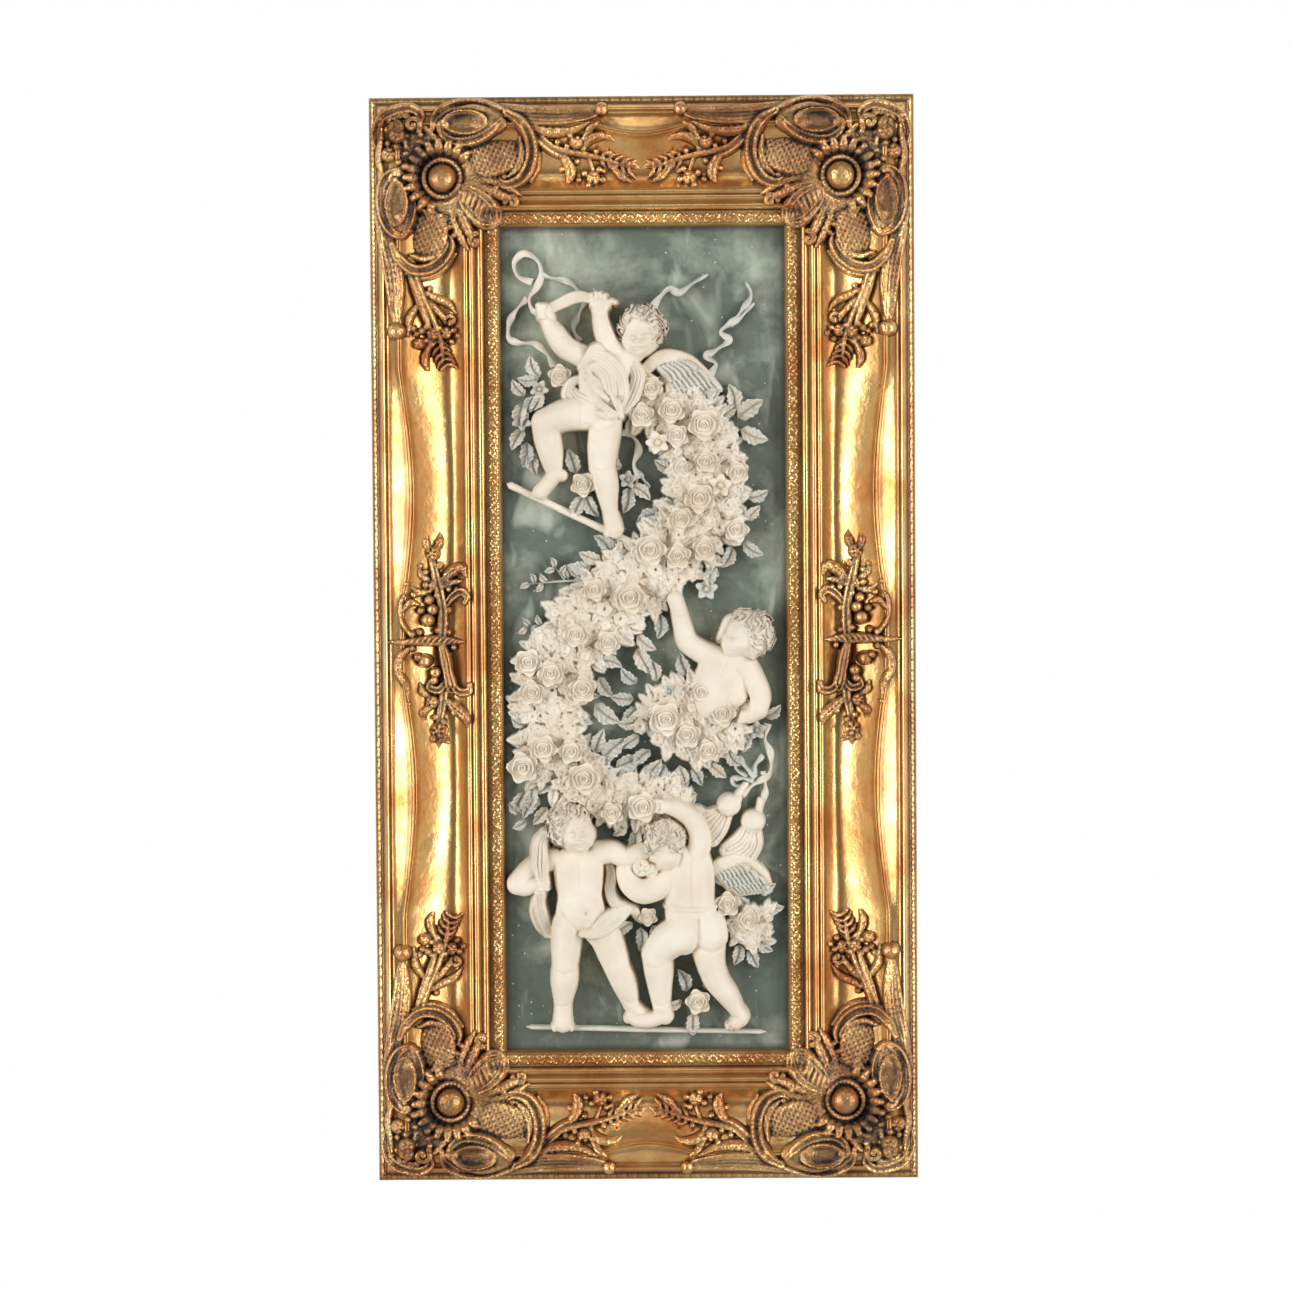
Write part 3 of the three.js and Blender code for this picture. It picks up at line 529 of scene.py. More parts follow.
def corner_field(step):
    """Height of the corner casting over the square of the corner, a to the right and b down
    from the outer corner, with the bare rail's height."""
    line = np.arange(0, CORNER_REACH + step, step)
    a, b = np.meshgrid(line, line)
    base = box_blur(rail_height(np.minimum(a, b)), 3)
    field = np.full(a.shape, NOTHING_THERE)
    lay, leaf, studs = casting_tools(field, a, b, base)
    # Pierced bed that bridges the scoop under the cabochon, grained all over.
    lay("round", 0.30, [
        (31, 33, 3, 12), (40, 43, 7, 19), (50, 53, 7, 19), (62, 64, 4.5, 13), (75, 76, 1.5, 6),
    ])
    field += 0.5 * np.sin(a * 3.7 + 2 * np.sin(b * 1.3)) * np.sin(b * 3.9 + 2 * np.sin(a * 1.5))
    bed = np.hypot((a - 43) / 19, (b - 47) / 20)
    field -= 6.5 * np.clip(1 - bed**3, 0, 1)
    # Shell of flutes round the dark side of the cabochon, with its toothed lip.
    for k in range(13):
        angle = math.radians(112 + 17 * k)
        ca, sa = math.cos(angle), math.sin(angle)
        flute = ((11.5, 4.5, 1.5), (15, 6.5, 2), (18.2, 8.5, 2.7), (20.2, 8, 2.2))
        lay("round", 0.9, [(46 + far * ca, 51 + far * sa, lift, half) for far, lift, half in flute])
        tip = 22.4 + k % 2
        studs(7.5, [(46 + tip * ca, 51 + tip * sa, 1.5 + 0.3 * (k % 3))])
    # Cabochon in its ring of pearls.
    round_it = np.linspace(0, 2 * math.pi, 19)
    ring = [(46 + 10.9 * math.cos(x), 51 + 11.2 * math.sin(x), 10, 1.6) for x in round_it]
    lay("pearls", 1.0, ring)
    boss(field, a, b, base, (46, 51), 14.5, 8.3, rise=0.95)
    # Palmette towards the inner corner: a big drop between curled and toothed leaves.
    lay("fluted", 0.6, [(54, 59, 9, 2), (62, 64, 9, 4.4), (69, 69.5, 7, 4.8), (76, 76.5, 3, 1)])
    for kind, flat, stations in (
        ("scroll", 0.9, [(60, 56, 9, 1.4), (70, 61, 8, 2.2), (77, 68, 5.5, 2.2), (79, 77, 2.5, 1)]),
        ("leaf", 1.1, [(61, 54, 8, 1.8), (73, 57.5, 7, 2.8), (84, 62, 5, 2.6), (91, 65, 2.5, 0.8)]),
        ("leaf", 1.1, [(64, 51, 7, 1.6), (75, 52.5, 7, 2.6), (87, 57, 5, 2.4), (94, 61, 2.5, 0.8)]),
        ("pearls", 1.0, [(58, 50, 8, 1.2), (66, 47.5, 8, 1.6), (73, 47, 7.5, 1.6), (78, 50, 7, 1.2)]),
        ("leaf", 1.1, [(65, 57, 8, 1.2), (74, 63, 6.5, 2.6), (80, 70, 3, 2.2), (82, 76, 1, 0.8)]),
    ):
        lay(kind, flat, stations)
        lay(kind, flat, [(q, p, lift, half) for p, q, lift, half in stations])
    lay("scroll", 0.9, curl((48, 74.5), 1.9, 1.3, 6.5, 7, 1.6, -1))
    lay("scroll", 0.9, curl((71, 50.5), -0.4, 1.2, 4.6, 7, 1.4))
    leaf([(44, 66, 7, 1.4), (39, 73, 6.5, 2.6), (38, 80, 5.5, 2.2), (42, 85, 5, 0.8)])
    studs(7.5, [
        (66, 45, 1.9), (70.5, 44.5, 1.6), (75, 46, 1.8), (79.5, 57, 1.6), (60, 43.5, 2.2), (44, 74, 2),
        (50, 81, 1.7), (53, 86, 1.5),
    ])
    lay("scroll", 0.9, curl((89.5, 66), 3.4, 1.0, 4.2, 3.5, 1.5))
    lay("scroll", 0.9, curl((66, 89.5), 4.6, 1.0, 4.2, 3.5, 1.5, -1))
    # Outer corner: a light cartouche of scrolls, its rosettes and its cupped volute.
    lay("scroll", 0.9, [
        (5, 31, 1, 1.4), (4.6, 22, 2, 2.4), (9, 13.5, 2.5, 2.9), (18, 8.6, 3, 3.2), (27, 7.6, 2.5, 3),
        (33, 11.5, 2.5, 2.4), (33, 17, 2.5, 1.8),
    ])
    leaf([(11, 17, 1, 1.4), (16, 13, 2, 2.6), (23, 12, 2.5, 2.6), (28, 15, 2, 0.8)])
    leaf([(24, 31, 4, 1.4), (21, 21, 3.5, 2.6), (18, 15, 2.5, 0.9)])
    leaf([(9, 23, 1, 1.2), (8, 31, 2, 2.4), (7, 40, 2, 2.4), (9, 47, 2, 0.8)])
    lay("scroll", 0.9, curl((28.5, 18.5), 0.6, 1.3, 5.0, 3.5, 1.5, -1))
    studs(3.4, [(18.9, 24.8, 4.6), (13.7, 36.4, 4.4)], petals=5)
    studs(3.2, [
        (24, 25, 1.9), (13, 29.5, 1.8), (18.5, 32, 1.7), (24, 36, 1.8), (19.5, 41.5, 1.8), (33, 24, 1.9),
        (8.5, 17.5, 1.6),
    ])
    leaf([(24, 42, 4, 1.2), (28, 48, 5, 2.4), (27, 56, 4.5, 2.4), (29, 63, 4.5, 0.8)])
    leaf([(37, 21, 4, 1.2), (44, 28, 5, 2.4), (51, 31, 5, 2.4), (58, 31, 4.5, 0.8)])
    lay("reeds", 0.9, [(30, 31, 5, 1.2), (29.5, 40, 6, 2), (30, 52, 6, 2), (31, 64, 5, 1.2)])
    lay("reeds", 0.9, [(32, 28.5, 5, 1.2), (41, 31, 6, 2), (53, 33.5, 6, 2), (64, 35, 5, 1.2)])
    # Arm along the top rail: the pierced oval, the C-scroll round its trellis, the sheaf.
    lay("round", 0.10, [(51, 17.5, 2.5, 6.5), (62, 17, 3, 8.5), (75, 17, 3.5, 7.5), (82, 18, 3, 4)])
    bowl(field, a, b, (61, 17), (14, 7.5), level=37.0, rise=5.9, swell=(69.5, 19))
    lay("scroll", 0.9, curl((72, 18.5), 1.2, 1.1, 5.5, 2, 1.8))
    lay("scroll", 0.95, [
        (41, 20, 3, 1.4), (43, 12.5, 3, 2.6), (52, 6.5, 3.5, 3.4), (66, 4.9, 3.5, 3.3), (79, 8, 3.5, 3),
        (88, 13, 3, 1.8),
    ])
    leaf([(56, 9, 4.5, 1.2), (66, 8, 5.5, 2.2), (78, 12, 5, 2.2), (85, 17, 4, 0.8)])
    lay("scroll", 0.95, [
        (83, 16, 4, 1.4), (78, 22, 4.5, 2.3), (67, 27.5, 5, 2.6), (55, 28.5, 5, 2.4), (47, 24.5, 4.5, 1.8),
        (46, 19, 4, 1.2),
    ])
    lay("scroll", 0.8, curl((48, 19.5), 2.6, 1.0, 3.6, 4.5, 1.2))
    lay("scroll", 0.95, [
        (87, 11, 4.5, 1.8), (95, 17, 7, 2.8), (101, 27, 7.5, 3.4), (101.5, 39, 6, 3.6), (96, 50, 6, 3.4),
        (87, 55, 6, 2.8), (80.5, 52, 6, 2), (81.5, 47.5, 6.5, 1.3),
    ])
    lay("leaf", 1.0, [(99, 21, 4, 1.2), (104, 30, 4, 2.2), (105, 42, 4, 2), (101, 52, 3, 0.8)])
    studs(6.2, [(84.6, 50, 1.9)])
    trellis(field, a, b, base, (79, 36), (20, 13), turn=-0.35, lift=3.5)
    lay("pearls", 1.0, [(61, 38, 6, 1.2), (67, 44, 7, 1.5), (73, 47, 7, 1.5)])
    leaf([(88, 49, 7, 1.2), (93, 44, 7.5, 2.4), (96, 35, 6.5, 2.2), (95, 27, 5.5, 0.8)])
    for shift, half in ((0, 1.2), (2.5, 1.2), (5, 1.1), (7.4, 1.1), (9.6, 0.9)):
        lay("round", 1.0, [
            (80 + shift, 4.8 + 0.8 * shift, 1.5, 1.0), (98, 7.4 + shift, 2.6, half),
            (118, 8.6 + shift, 2.8, half), (136, 8.6 + 0.7 * shift, 2.3, half),
            (146, 9 + 0.2 * shift, 1.5, 0.8),
        ])
    leaf([(98, 19, 3, 1.4), (112, 23, 4, 2.8), (128, 22, 3, 2), (137, 18, 2, 0.8)])
    studs(2.4, [(145.5, 9.3, 3.8)])
    # Spray of flowers lying in the scoop of the top rail.
    lay("round", 1.0, [
        (106, 27, 3, 1.4), (118, 33, 4, 1.6), (132, 36, 4, 1.6), (146, 39, 3, 1.4), (158, 43, 2, 1.2),
        (168, 45, 1, 0.6),
    ])
    lay("scroll", 0.8, [(104, 24, 3, 1.2), (109, 29, 4, 2.8), (117, 35, 4, 2.3), (122, 37, 3, 0.8)])
    lay("leaf", 1.0, [(118, 34, 3, 1.2), (124, 41, 4, 2.7), (126, 48, 4, 3), (124, 53, 2, 0.9)])
    studs(4.0, [(129.8, 29, 4)], petals=5)
    lay("leaf", 0.9, [(132, 34, 3, 1.2), (139, 27, 4, 2.5), (148, 26, 3, 1.9), (156, 30, 1, 0.6)])
    lay("leaf", 0.9, [(134, 29, 3, 1.2), (138, 22, 3, 2), (143, 18, 2, 0.8)])
    studs(4.0, [(140, 51, 4.2)], petals=5)
    lay("round", 1.0, [(137, 38, 3, 1.1), (140, 46, 3.5, 1.1)])
    for k in range(5):
        p, q = 145 + 4.2 * k, 39 + 1.3 * k
        lay("leaf", 1.2, [(p, q, 2.6, 0.7), (p + 2.2, q - 2.8, 2.8, 1.15), (p + 5, q - 4, 1.5, 0.6)])
        lay("leaf", 1.2, [(p, q, 2.6, 0.7), (p + 1.2, q + 3.4, 2.8, 1.15), (p + 3.6, q + 6, 1.5, 0.6)])
    studs(3.2, [
        (124, 31.5, 1.8), (135, 27, 2), (126, 25, 1.7), (134, 33, 1.8), (143.5, 45.5, 1.9),
        (134.5, 48, 2), (137, 55.5, 1.7), (146, 52, 1.9), (142, 34.5, 1.7), (118, 29, 1.7),
        (146.5, 46.5, 1.6), (130, 40.5, 1.8), (121, 45, 1.6), (150, 35.5, 1.8), (131, 52, 1.6),
    ])
    lay("leaf", 0.9, [(150, 42, 3, 1.2), (157, 49, 3, 2.3), (163, 53, 1, 0.8)])
    lay("leaf", 0.8, [(158, 42, 2, 1.2), (164, 42, 2, 1.9), (169, 44.5, 0.5, 0.6)])
    # Arm down the side rail: the same oval, scroll and trellis, and a plainer sheaf.
    lay("round", 0.10, [(17.5, 54, 2.5, 5.5), (18, 66, 3, 7.5), (19, 79, 3, 5.5)])
    bowl(field, a, b, (18, 67), (7, 14), level=37.4, rise=5.0, swell=(20, 75))
    lay("scroll", 0.95, [
        (20, 46, 3, 1.3), (13, 49, 3, 2.3), (8.5, 57, 3.5, 2.8), (8.5, 71, 3.5, 2.8), (13, 82, 4, 2.6),
        (20, 87, 4, 1.8), (25, 84, 4.5, 1.2),
    ])
    lay("scroll", 0.95, [
        (19, 47, 4, 1.2), (25, 53, 4, 1.8), (27.5, 64, 4.5, 2.1), (26.5, 76, 4.5, 2.1), (23, 85, 4.5, 1.4),
    ])
    lay("scroll", 0.8, curl((17, 52), -1.0, 1.0, 3.6, 4.5, 1.2, -1))
    leaf([(6, 60, 2, 1), (5.2, 70, 2, 1.8), (7, 82, 2, 1.8), (11, 91, 2, 0.8)])
    lay("scroll", 0.95, [
        (15, 93, 3.5, 1.6), (19, 101, 4, 2.6), (27, 107.5, 5, 3.2), (37, 107, 6, 3.4), (46, 100.5, 6, 3.2),
        (50.5, 92, 6, 2.6), (48, 86.5, 6, 1.8), (44.5, 88, 6.5, 1.2),
    ])
    lay("leaf", 1.0, [(24, 110, 4, 1.2), (34, 112, 4, 2), (45, 107, 4, 2), (53, 98, 3, 0.8)])
    studs(6.2, [(46.6, 89.4, 1.9)])
    trellis(field, a, b, base, (36, 87), (12.5, 17), turn=0.35, lift=3.5)
    lay("pearls", 1.0, [(34, 70, 6, 1.2), (40, 77, 6.5, 1.5), (47, 80, 6.5, 1.4)])
    leaf([(46, 92, 7, 1.2), (42, 98, 7, 2.2), (34, 101, 6, 2), (27, 99, 5, 0.8)])
    for shift, half in ((0, 1.2), (2.5, 1.2), (5, 1.1), (7.4, 1.1), (9.6, 0.9)):
        lay("round", 1.0, [
            (5.4 + 0.8 * shift, 84, 1.5, 1.0), (8.6 + shift, 99, 2.4, half), (11.5 + shift, 116, 2.8, half),
            (13.5 + 0.7 * shift, 131, 2.5, half), (16 + 0.2 * shift, 142, 1.8, 0.8),
        ])
    studs(2.0, [(17.5, 146, 5)])
    # Spray down the scoop of the side rail.
    lay("round", 1.0, [
        (29, 112, 4, 1.6), (34, 126, 4, 1.7), (40, 140, 4, 1.6), (44, 154, 3, 1.4), (45, 166, 1, 0.8),
    ])
    lay("reeds", 0.9, [(26, 113, 3, 1.4), (30, 124, 4, 2.2), (35, 138, 4, 1.9), (38, 146, 3, 0.8)])
    lay("leaf", 1.0, [(33, 121, 3, 1.2), (41, 125, 4, 2.3), (48, 128, 3.5, 2), (53, 134, 1.5, 0.7)])
    lay("leaf", 1.0, [(34, 125, 3, 1.2), (41, 132, 4, 2.2), (46, 138, 3, 1.6), (47, 143, 1.5, 0.7)])
    lay("scroll", 0.9, curl((50, 139), 3.6, 1.0, 3.4, 3.0, 1.1))
    lay("leaf", 0.9, [(31, 128, 3, 1.2), (25, 138, 3, 2.2), (24, 148, 2, 0.8)])
    studs(3.5, [(47, 146.6, 3.8), (38.5, 147.5, 3.9), (30.5, 153.5, 3.4)], petals=5)
    for k in range(5):
        p, q = 41 + 1.6 * k, 152 + 3.6 * k
        lay("leaf", 1.2, [(p, q, 2.6, 0.7), (p + 3.6, q + 0.2, 2.8, 1.15), (p + 6.4, q + 2, 1.5, 0.6)])
        lay("leaf", 1.2, [(p, q, 2.6, 0.7), (p - 2.6, q + 2.4, 2.8, 1.1), (p - 3.8, q + 5, 1.5, 0.6)])
    studs(3.2, [
        (27, 144, 1.8), (32, 145.5, 2.1), (42.8, 143.5, 1.9), (52, 145, 1.8), (54.5, 148.5, 1.5),
        (34.5, 151.5, 1.7), (43.5, 152, 1.8), (50.5, 152, 1.7), (29, 147.5, 1.6), (35, 143, 1.7),
        (37, 119, 1.7), (33, 133, 1.8), (44, 134.5, 1.6), (50, 141, 1.6), (24, 141.5, 1.5),
    ])
    lay("leaf", 0.8, [(38, 150, 3, 1.1), (34, 163, 3, 2.2), (36, 171, 1, 0.8)])
    return a, b, base, np.minimum(field, CASTING_TOP)


gilt_composition = gilding(
    "gilt_composition", bright=srgb(1.0, 0.81, 0.55), warm=srgb(0.74, 0.48, 0.30),
    dark=srgb(0.12, 0.07, 0.055), dust=srgb(0.36, 0.32, 0.34), dents=0.8, dent_scale=380.0,
)
# Pools of tone wash and painted shade in the low places, each (a, b, half width, half height, share).
TONE_AND_SHADE_POOLS = (
    (37, 41, 12, 12, 0.42), (31, 41, 6, 10, 0.35), (58, 14, 9, 4, 0.34), (17, 64, 5, 12, 0.12),
    (17, 26, 9, 12, 0.30), (55, 70, 8, 8, 0.25), (80, 36, 12, 9, 0.12),
)
a, b, base, field = corner_field(step=0.62)
rough = 0.35 * np.sin(a * 2.1 + 3 * np.sin(b * 0.9)) * np.sin(b * 2.3 + 2 * np.sin(a * 1.1))
keep = (field > base + 0.1) & (np.minimum(a, b) < RAIL_WIDTH - 0.5)
# Recesses are darkened by the tone wash and by painted shade, most deeply in the pools.
hollow = np.clip((box_blur(np.maximum(field, base), 4) - field) / 1.8 + 0.42, 0, 1)
for pool_a, pool_b, wide, tall, share in TONE_AND_SHADE_POOLS:
    pool = np.exp(-(((a - pool_a) / wide) ** 2) - ((b - pool_b) / tall) ** 2)
    hollow = np.clip(hollow + share * pool, 0, 1)
height = np.maximum(field + np.where(field > base + 1.5, rough, 0), base - SUNK_IN)
for name, flip_x, flip_z in (
    ("top_left", 1, 1), ("top_right", -1, 1), ("bottom_left", 1, -1), ("bottom_right", -1, -1),
):
    x = flip_x * (a - FRAME_WIDTH / 2)
    z = MIDDLE_Z + flip_z * (FRAME_HEIGHT / 2 - b)
    part = field_sheet(np.stack([x, -height, z], -1), keep, turned=flip_x * flip_z > 0, hollow=hollow)
    node = "corner_casting_" + name
    build("corner_casting_gilt_" + name, [part], gilt_composition, [node])


def side_field(step):
    """Height of a side casting: a in from the outer edge, b along from the rail's middle."""
    across, along = np.arange(8, 62 + step, step), np.arange(-72, 72 + step, step)
    a, b = np.meshgrid(across, along)
    base = box_blur(rail_height(a), 2)
    field = np.full(a.shape, NOTHING_THERE)
    lay, leaf, studs = casting_tools(field, a, b, base, wider=1.2)
    # Spindle across the middle, bound with a twisted leaf.
    lay("fluted", 0.9, [
        (11, 0.5, 1, 0.7), (20, 0.5, 3, 1.4), (30, 1, 4.5, 2.2), (40, 1, 5, 2.6), (49, 0.5, 3.5, 1.8),
        (56, 0, 1.5, 0.7),
    ])
    # Upper twig: two stems side by side, buds, rosettes and curled leaves.
    for shift in (-1.4, 1.4):
        lay("round", 1.0, [
            (43 + shift, 4, 4, 1.2), (43.5 + shift, 14, 4.5, 1.4), (43 + shift, 24, 4.5, 1.3),
            (40 + shift, 38, 4, 1.2), (37 + 0.6 * shift, 52, 3.5, 1),
        ])
    leaf([(36, 57, 3, 1.2), (33.5, 62, 3.5, 2.2), (34.5, 69, 1.5, 0.7)])
    leaf([(38.5, 57, 3, 1.2), (41.5, 62, 3.5, 2.2), (42, 68, 1.5, 0.7)])
    leaf([(36, 38, 3.5, 1.2), (31, 42, 3.5, 2), (28.5, 50, 1.5, 0.7)])
    leaf([(35, 32, 3.5, 1.2), (29, 31.5, 3.5, 2), (24.5, 35, 2, 0.7)])
    leaf([(42, 37, 4, 1.2), (48, 43, 4.5, 2.6), (55, 46.5, 3.5, 2.4), (58, 42, 2, 0.8)])
    leaf([(42, 34, 4, 1.2), (48, 37, 4, 2), (54, 38, 3, 0.8)])
    lay("scroll", 1.0, [
        (45, 22, 4, 1), (49, 28, 4.5, 1.7), (55, 31.5, 4, 1.9), (59, 28.5, 3, 1.4), (57.5, 25, 3, 0.9),
    ])
    lay("round", 1.0, [(24.5, 4, 3, 1), (18.5, 14, 2.5, 1.1), (18, 24, 2.5, 1.1), (21.5, 32, 2, 0.8)])
    leaf([(19, 20, 2.5, 0.9), (23, 25, 3.5, 1.8), (28, 24, 2.5, 0.8)])
    # Lower twig: a ribbed cup that opens into leaves, with its own stems and rosettes.
    lay("reeds", 1.0, [
        (43, -3, 4.5, 2), (45, -11, 5.5, 3), (46.5, -20, 5, 2.8), (48, -27, 4, 3.4),
        (48.5, -30, 3, 1.6),
    ])
    lay("scroll", 1.0, [(48, -25, 4, 1.2), (53, -31, 4.5, 1.9), (59, -31, 3.5, 1.8), (60, -27.5, 3, 1)])
    lay("scroll", 1.0, [
        (45, -25, 4, 1.2), (40.5, -30, 4.5, 1.9), (35, -28.5, 3.5, 1.6), (35.5, -25, 3.5, 0.9),
    ])
    for shift in (-1.3, 1.3):
        lay("round", 1.0, [
            (44 + shift, -29, 4, 1.1), (42.5 + shift, -40, 4, 1.2), (40.5 + 0.6 * shift, -51, 3.5, 1),
        ])
    leaf([
        (24, -2, 3, 1), (17.5, -9, 3, 2), (16.5, -18, 2.8, 2.2), (21, -27, 2.5, 1.8),
        (22, -36, 1.5, 0.7),
    ])
    leaf([(44, -36, 4, 1.2), (50, -41, 4.5, 2.6), (57, -47, 3.5, 2.4), (58.5, -52, 1.5, 0.8)])
    leaf([(35, -34, 3.5, 1), (31, -31, 3.5, 1.8), (29.5, -26.5, 2, 0.7)])
    leaf([(36, -40, 3.5, 1.2), (31, -44, 3.5, 2.2), (31.5, -50, 1.5, 0.7)])
    for tip_a, tip_b in ((34, -63), (40, -66), (46, -63)):
        leaf([(40, -55, 3, 1), (0.5 * (40 + tip_a), -60, 3.5, 2.0), (tip_a, tip_b, 1.5, 0.7)])
    studs(4.5, [
        (34, 14, 3.9), (37, 20.5, 3.4), (35, 26.5, 2.8), (32, -11.5, 3.9), (38.5, -19, 3.2),
        (37.5, -24, 2.4),
    ])
    studs(3.5, [
        (24.5, 5.2, 2), (29, 6.5, 2.1), (40, 7.5, 2.2), (24.5, -3.5, 1.8), (47, 6, 1.8), (50, -3.5, 1.8),
        (22, 37, 1.6), (22.5, -38, 1.5),
    ])
    studs(4.2, [
        (50, 44, 1.9), (54, 45.5, 1.7), (47.5, 33, 1.9), (52.5, 33, 1.6), (50, -44.5, 2),
        (54.5, -46, 1.8), (33, 44, 1.8), (30, 48, 1.5), (41.5, 48, 2.2), (45, 12, 2), (46.5, -8, 2.2),
        (38.5, -47, 1.9), (43, -50, 1.9), (40, 29, 2.2), (47, 20, 1.9), (30, 20, 2), (28, -9, 2),
        (26, 30, 1.8), (33, 36, 2), (46, 39, 2),
    ])
    studs(3.5, [(37, 55.5, 4.6), (36, 35.5, 3.4), (36, -37.5, 4), (40, -55.5, 5.2)], petals=5)
    return a, b, base, field


a, b, base, field = side_field(step=0.55)
keep = field > base + 0.1
# Recesses are darkened by the tone wash and by painted shade.
hollow = np.clip((box_blur(np.maximum(field, base), 4) - field) / 1.5 + 0.68, 0, 1)
rough = 0.3 * np.sin(a * 2.3 + 3 * np.sin(b * 0.9)) * np.sin(b * 2.5 + 2 * np.sin(a * 1.1))
height = np.maximum(field + np.where(field > base + 1.0, rough, 0), base - SUNK_IN)
for name, flip in (("left", 1), ("right", -1)):
    points = np.stack([flip * (a - FRAME_WIDTH / 2), -height, MIDDLE_Z + b], -1)
    part = field_sheet(points, keep, turned=flip < 0, hollow=hollow)
    build(
        "side_casting_gilt_" + name, [part], gilt_composition, ["side_casting_" + name],
    )


# Ground of the relief: the flat of the one cast plate, painted a clouded grey green under
# the figures and held by its edges in the rebate of the rails. HELD is how far it reaches
# under them, and a relief ends at UNDER_GROUND, a little below the flat.
PLATE_FRONT = 11.7
PLATE_THICK = 8.0
SIGHT_BOTTOM = TOP_Z - FRAME_HEIGHT + RAIL_WIDTH
SIGHT_WIDTH = FRAME_WIDTH - 2 * RAIL_WIDTH
SIGHT_HEIGHT = FRAME_HEIGHT - 2 * RAIL_WIDTH
HELD = 6
UNDER_GROUND = -0.8


def on_panel(u, v, h):
    """A point of the relief's drawing, u right and v up from the sight's lower left corner
    and h off the ground, in the frame."""
    return np.stack(np.broadcast_arrays(u - SIGHT_WIDTH / 2, -(PLATE_FRONT + h), SIGHT_BOTTOM + v), -1)


def painted_ground():
    """Grey green paint in bent clouds, with pale streaks, a fine mottle and a few cream
    specks, a painted shadow at the sight edge, and left bare behind."""
    material, tree, add, shader = new_material("painted_ground")
    place = add("ShaderNodeTexCoord").outputs["Object"]
    warp = add("ShaderNodeTexNoise", {"Vector": place, "Scale": 9.0, "Detail": 2.0}).outputs["Color"]
    bent = reckon_place(add, "ADD", place, reckon_place(add, "MULTIPLY", warp, (0.05, 0.05, 0.05)))
    clouds = noise(add, bent, 17.0, 6.0, Roughness=0.62)
    fine = noise(add, place, 210.0, 4.0, Roughness=0.7)
    shade = blend_colour(
        add, spread(add, clouds, 0.50, 0.72), srgb(0.37, 0.41, 0.365), srgb(0.72, 0.75, 0.68),
    )
    shade = blend_colour(add, spread(add, clouds, 0.45, 0.28), shade, srgb(0.27, 0.30, 0.265))
    drawn_out = reckon_place(add, "MULTIPLY", bent, (1, 1, 0.3))
    veins = noise(add, drawn_out, 30.0, 3.0, Distortion=1.2)
    streak = spread(add, veins, 0.60, 0.74, **{"To Max": 0.75})
    shade = blend_colour(add, streak, shade, srgb(0.82, 0.85, 0.78))
    mottle = spread(add, fine, 0.35, 0.65, **{"To Max": 0.22})
    shade = blend_colour(add, mottle, shade, srgb(0.50, 0.535, 0.485))
    specks = add("ShaderNodeTexVoronoi", {"Vector": place, "Scale": 260.0})
    dots = spread(add, specks.outputs["Distance"], 0.16, 0.08)
    chosen = add("ShaderNodeSeparateColor", {"Color": specks.outputs["Color"]}).outputs["Red"]
    dots = reckon(add, "MULTIPLY", dots, reckon(add, "GREATER_THAN", chosen, 0.86))
    shade = blend_colour(add, dots, shade, srgb(0.82, 0.84, 0.80))
    # Painted shadow of the rails, under their lips and along the sight edge.
    shade = blend_colour(add, mark_of(add, "edge"), shade, srgb(0.20, 0.17, 0.13))
    shade = blend_colour(add, mark_of(add, "behind"), shade, srgb(0.80, 0.77, 0.70))
    shader.inputs["Roughness"].default_value = 0.55
    finish_coat(tree, add, shader, shade, fine, strength=0.3, distance=0.0008)
    return material


def ground_sheets():
    """The painted flat, with a slight swell away from the sight edge, and the plate's sides
    and back."""
    right, top = SIGHT_WIDTH + HELD, SIGHT_HEIGHT + HELD
    u, v = np.meshgrid(np.linspace(-HELD, right, 58), np.linspace(-HELD, top, 160))
    inner = np.minimum(np.minimum(u, SIGHT_WIDTH - u), np.minimum(v, SIGHT_HEIGHT - v))
    swell = 0.25 * np.sin(u * 0.11 + 2 * np.sin(v * 0.021)) * np.sin(v * 0.083) - 0.25
    swell = np.where(inner > 1.5, swell, 0)
    # edge marks where the painted shadow of the rails falls, at and under the sight edge.
    front = sheet(on_panel(u, v, swell), edge=np.clip(1 - inner / 3.5, 0, 1) * 0.75)
    rim = np.array([[-HELD, -HELD], [right, -HELD], [right, top], [-HELD, top]], float)
    sides = np.stack([on_panel(rim[:, 0], rim[:, 1], h) for h in (0.0, -PLATE_THICK)])
    walls = sheet(sides[:, ::-1], wrap=True, behind=1.0)
    walls["faces"].append(np.array([[4, 5, 6, 7]]))
    return [front, walls]


build("relief_ground", ground_sheets(), painted_ground(), ["relief_panel"])


# Children: four small nude figures in half round, part of the one cream casting. They were
# modelled in clay, so limbs run softly into each other and the hair stands in cut curls.
def strung(u, v, stations, flat=1.0, fall=11.0):
    """Height over the ground of balls strung along a curve through stations (u, v, height
    of the centre, radius): centre + flat * sqrt(r^2 - d^2), falling steeply past r."""
    line = smooth_line(stations, 1.3)
    field = np.full(u.shape, NOTHING_THERE)
    reach = line[:, 3].max() + 6
    near = (u > line[:, 0].min() - reach) & (u < line[:, 0].max() + reach)
    near &= (v > line[:, 1].min() - reach) & (v < line[:, 1].max() + reach)
    pu, pv = u[near][:, None], v[near][:, None]
    r = np.maximum(line[:, 3], 0.5)
    gap = np.hypot(pu - line[:, 0], pv - line[:, 1])
    height = line[:, 2] + flat * np.sqrt(np.clip(r * r - gap * gap, 0, None)) - fall * np.maximum(
        gap - r, 0,
    )
    field[near] = height.max(1)
    return field


